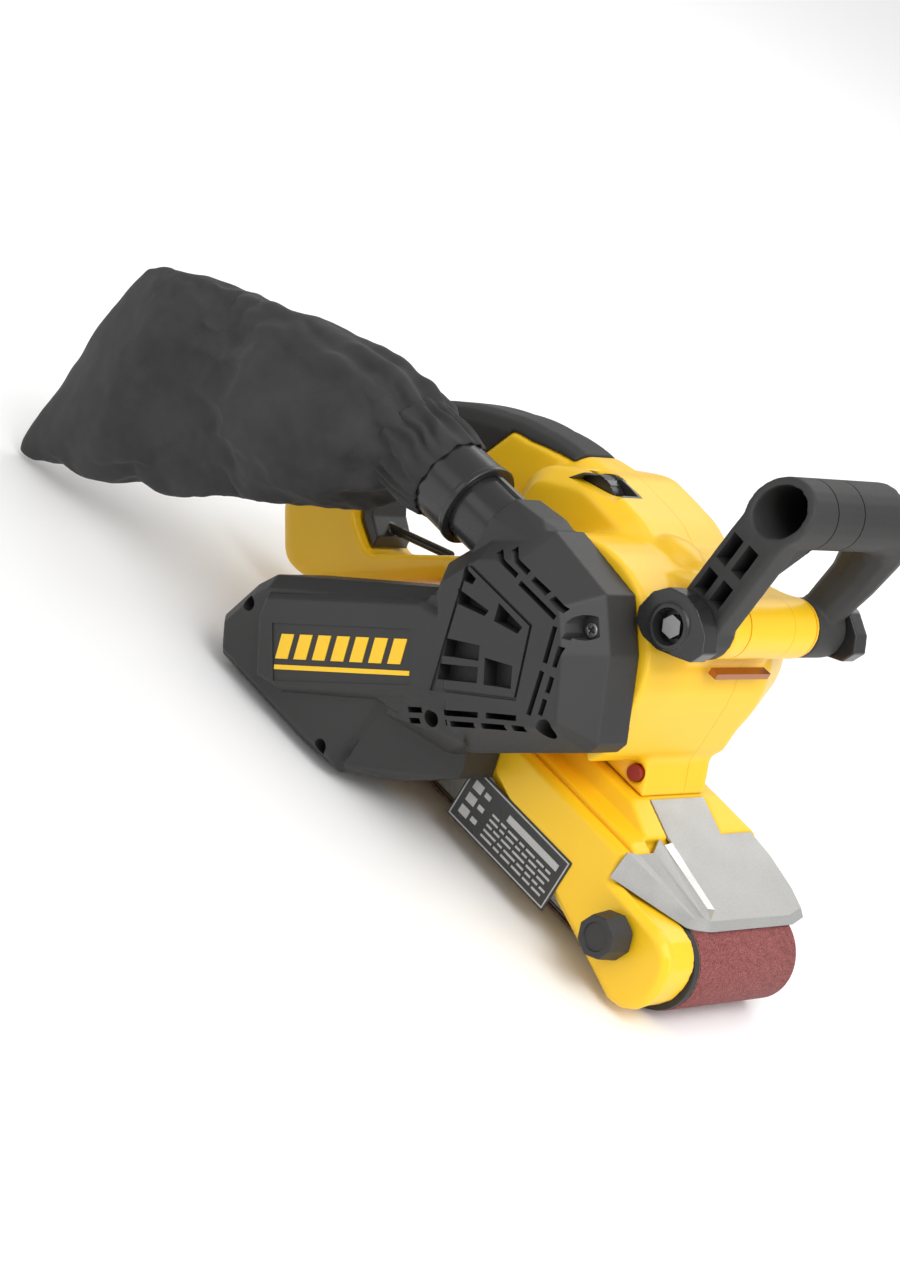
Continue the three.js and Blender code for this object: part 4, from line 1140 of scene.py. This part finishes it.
def build_belt_knob():
    """The tracking knob: a stubby eight-sided grip with a shallow dished face."""
    low, high = cad_box_of("tracking_knob")
    x, z = (low.x + high.x) / 2, (low.z + high.z) / 2
    knob = round_bar("belt_knob", (x, -83, z), (x, -69.5, z), 10.2, 11.6, sides=8)
    skirt = round_bar("skirt", (x, -70.5, z), (x, -67.4, z), 9.4)
    stem = round_bar("stem", (x, -69, z), (x, high.y, z), 3)
    combine(knob, [skirt, stem], "UNION")
    soften(knob, 0.5, 9)
    dish = round_bar("dish", (x, -84, z), (x, -82.2, z), 7.2, 6.4)
    combine(knob, [dish], "DIFFERENCE")
    crisp(knob)
    ride_as(knob, "tracking", "tracking_knob", slot="black_plastic")


def build_handles():
    build_front_handle()
    build_bolt()
    build_belt_knob()
    wing_knob("near_knob", "near_clamp_knob", "near_clamp", -80, -68.6)
    low, high = cad_box_of("far_clamp_knob")
    wing_knob("far_knob", "far_clamp_knob", "far_clamp", high.y, low.y)
    softened_copy("rear_grip", "grip_overmold", "machine", "rubber_grip", 0.8, 16, round_top)
    softened_copy("trigger_lever", "trigger", "trigger_body", "gloss_black", 0.45, 8)


def build_loop_rail():
    """The black lining at the back of the hand opening, and the slim bar that runs forward from it."""
    outline = [(-168, 55.5), (-182, 62.7), (-192, 80.5), (-188, 82.5), (-178, 68.5), (-169, 62)]
    lining = prism("loop_rail", outline, SPLIT_Y - 13, SPLIT_Y + 13)
    rail = round_bar("rail", (-182, SPLIT_Y, 61.5), (-134, SPLIT_Y, 76.6), 2.4)
    combine(lining, [rail], "UNION")
    soften(lining, 0.45, 6)
    ride_as(lining, "machine", "loop_liner", slot="gloss_black")


# ---- type plate

PRINT_HEIGHT = 0.12                     # how far the print stands off the plate
LABEL_MARGIN, LABEL_EDGE = 1, 0.7
LABEL_ROWS, ROW_PITCH, WORD_HEIGHT, WORD_GAP = 5, 2.9, 1.1, 1.4


def label_print(name, face, x0, x1, z0, z1):
    made = block(name, (x0, face - PRINT_HEIGHT, z0), (x1, face + 0.05, z1))
    ride_as(made, "machine", slot="silver_plate")


def build_label():
    """The type plate's border, and bars and blocks in place of its text."""
    low, high = cad_box_of("name_label")
    face = low.y
    left, right = low.x + LABEL_MARGIN, high.x - LABEL_MARGIN
    foot, head = low.z + LABEL_MARGIN, high.z - LABEL_MARGIN
    inner_foot, inner_head = foot + LABEL_EDGE, head - LABEL_EDGE
    label_print("label_edge_low", face, left, right, foot, inner_foot)
    label_print("label_edge_high", face, left, right, inner_head, head)
    label_print("label_edge_left", face, left, left + LABEL_EDGE, inner_foot, inner_head)
    label_print("label_edge_right", face, right - LABEL_EDGE, right, inner_foot, inner_head)
    draw = random.Random(7)
    label_print("label_title", face, low.x + 30, high.x - 5, high.z - 9, high.z - 5.5)
    for row in range(LABEL_ROWS):
        z = high.z - 12.4 - ROW_PITCH * row
        x = low.x + 22
        word = 0
        while x < high.x - 8:
            width = draw.uniform(3, 9)
            end = min(x + width, high.x - 4)
            label_print(f"label_line_{row + 1}_{word + 1}", face, x, end, z, z + WORD_HEIGHT)
            x += width + WORD_GAP
            word += 1
    for index in range(3):
        z = low.z + 5 + 7 * index
        label_print(f"label_block_{index + 1}", face, low.x + 5, low.x + 11, z, z + 4.5)
        label_print(f"label_mark_{index + 1}", face, low.x + 13, low.x + 17, z + 1, z + 3.5)


# ---- the machine

make_materials()
add_camera()
add_lights()
add_stage()

build_housing()
build_skirt_and_deck()
build_belt()
build_plate()
build_cover()
build_duct()
build_bag()
build_handles()
build_loop_rail()
build_label()

for part, slot in node_slots().items():
    if part not in replaced_nodes:
        tidy_cad(part, slot, 0.4)
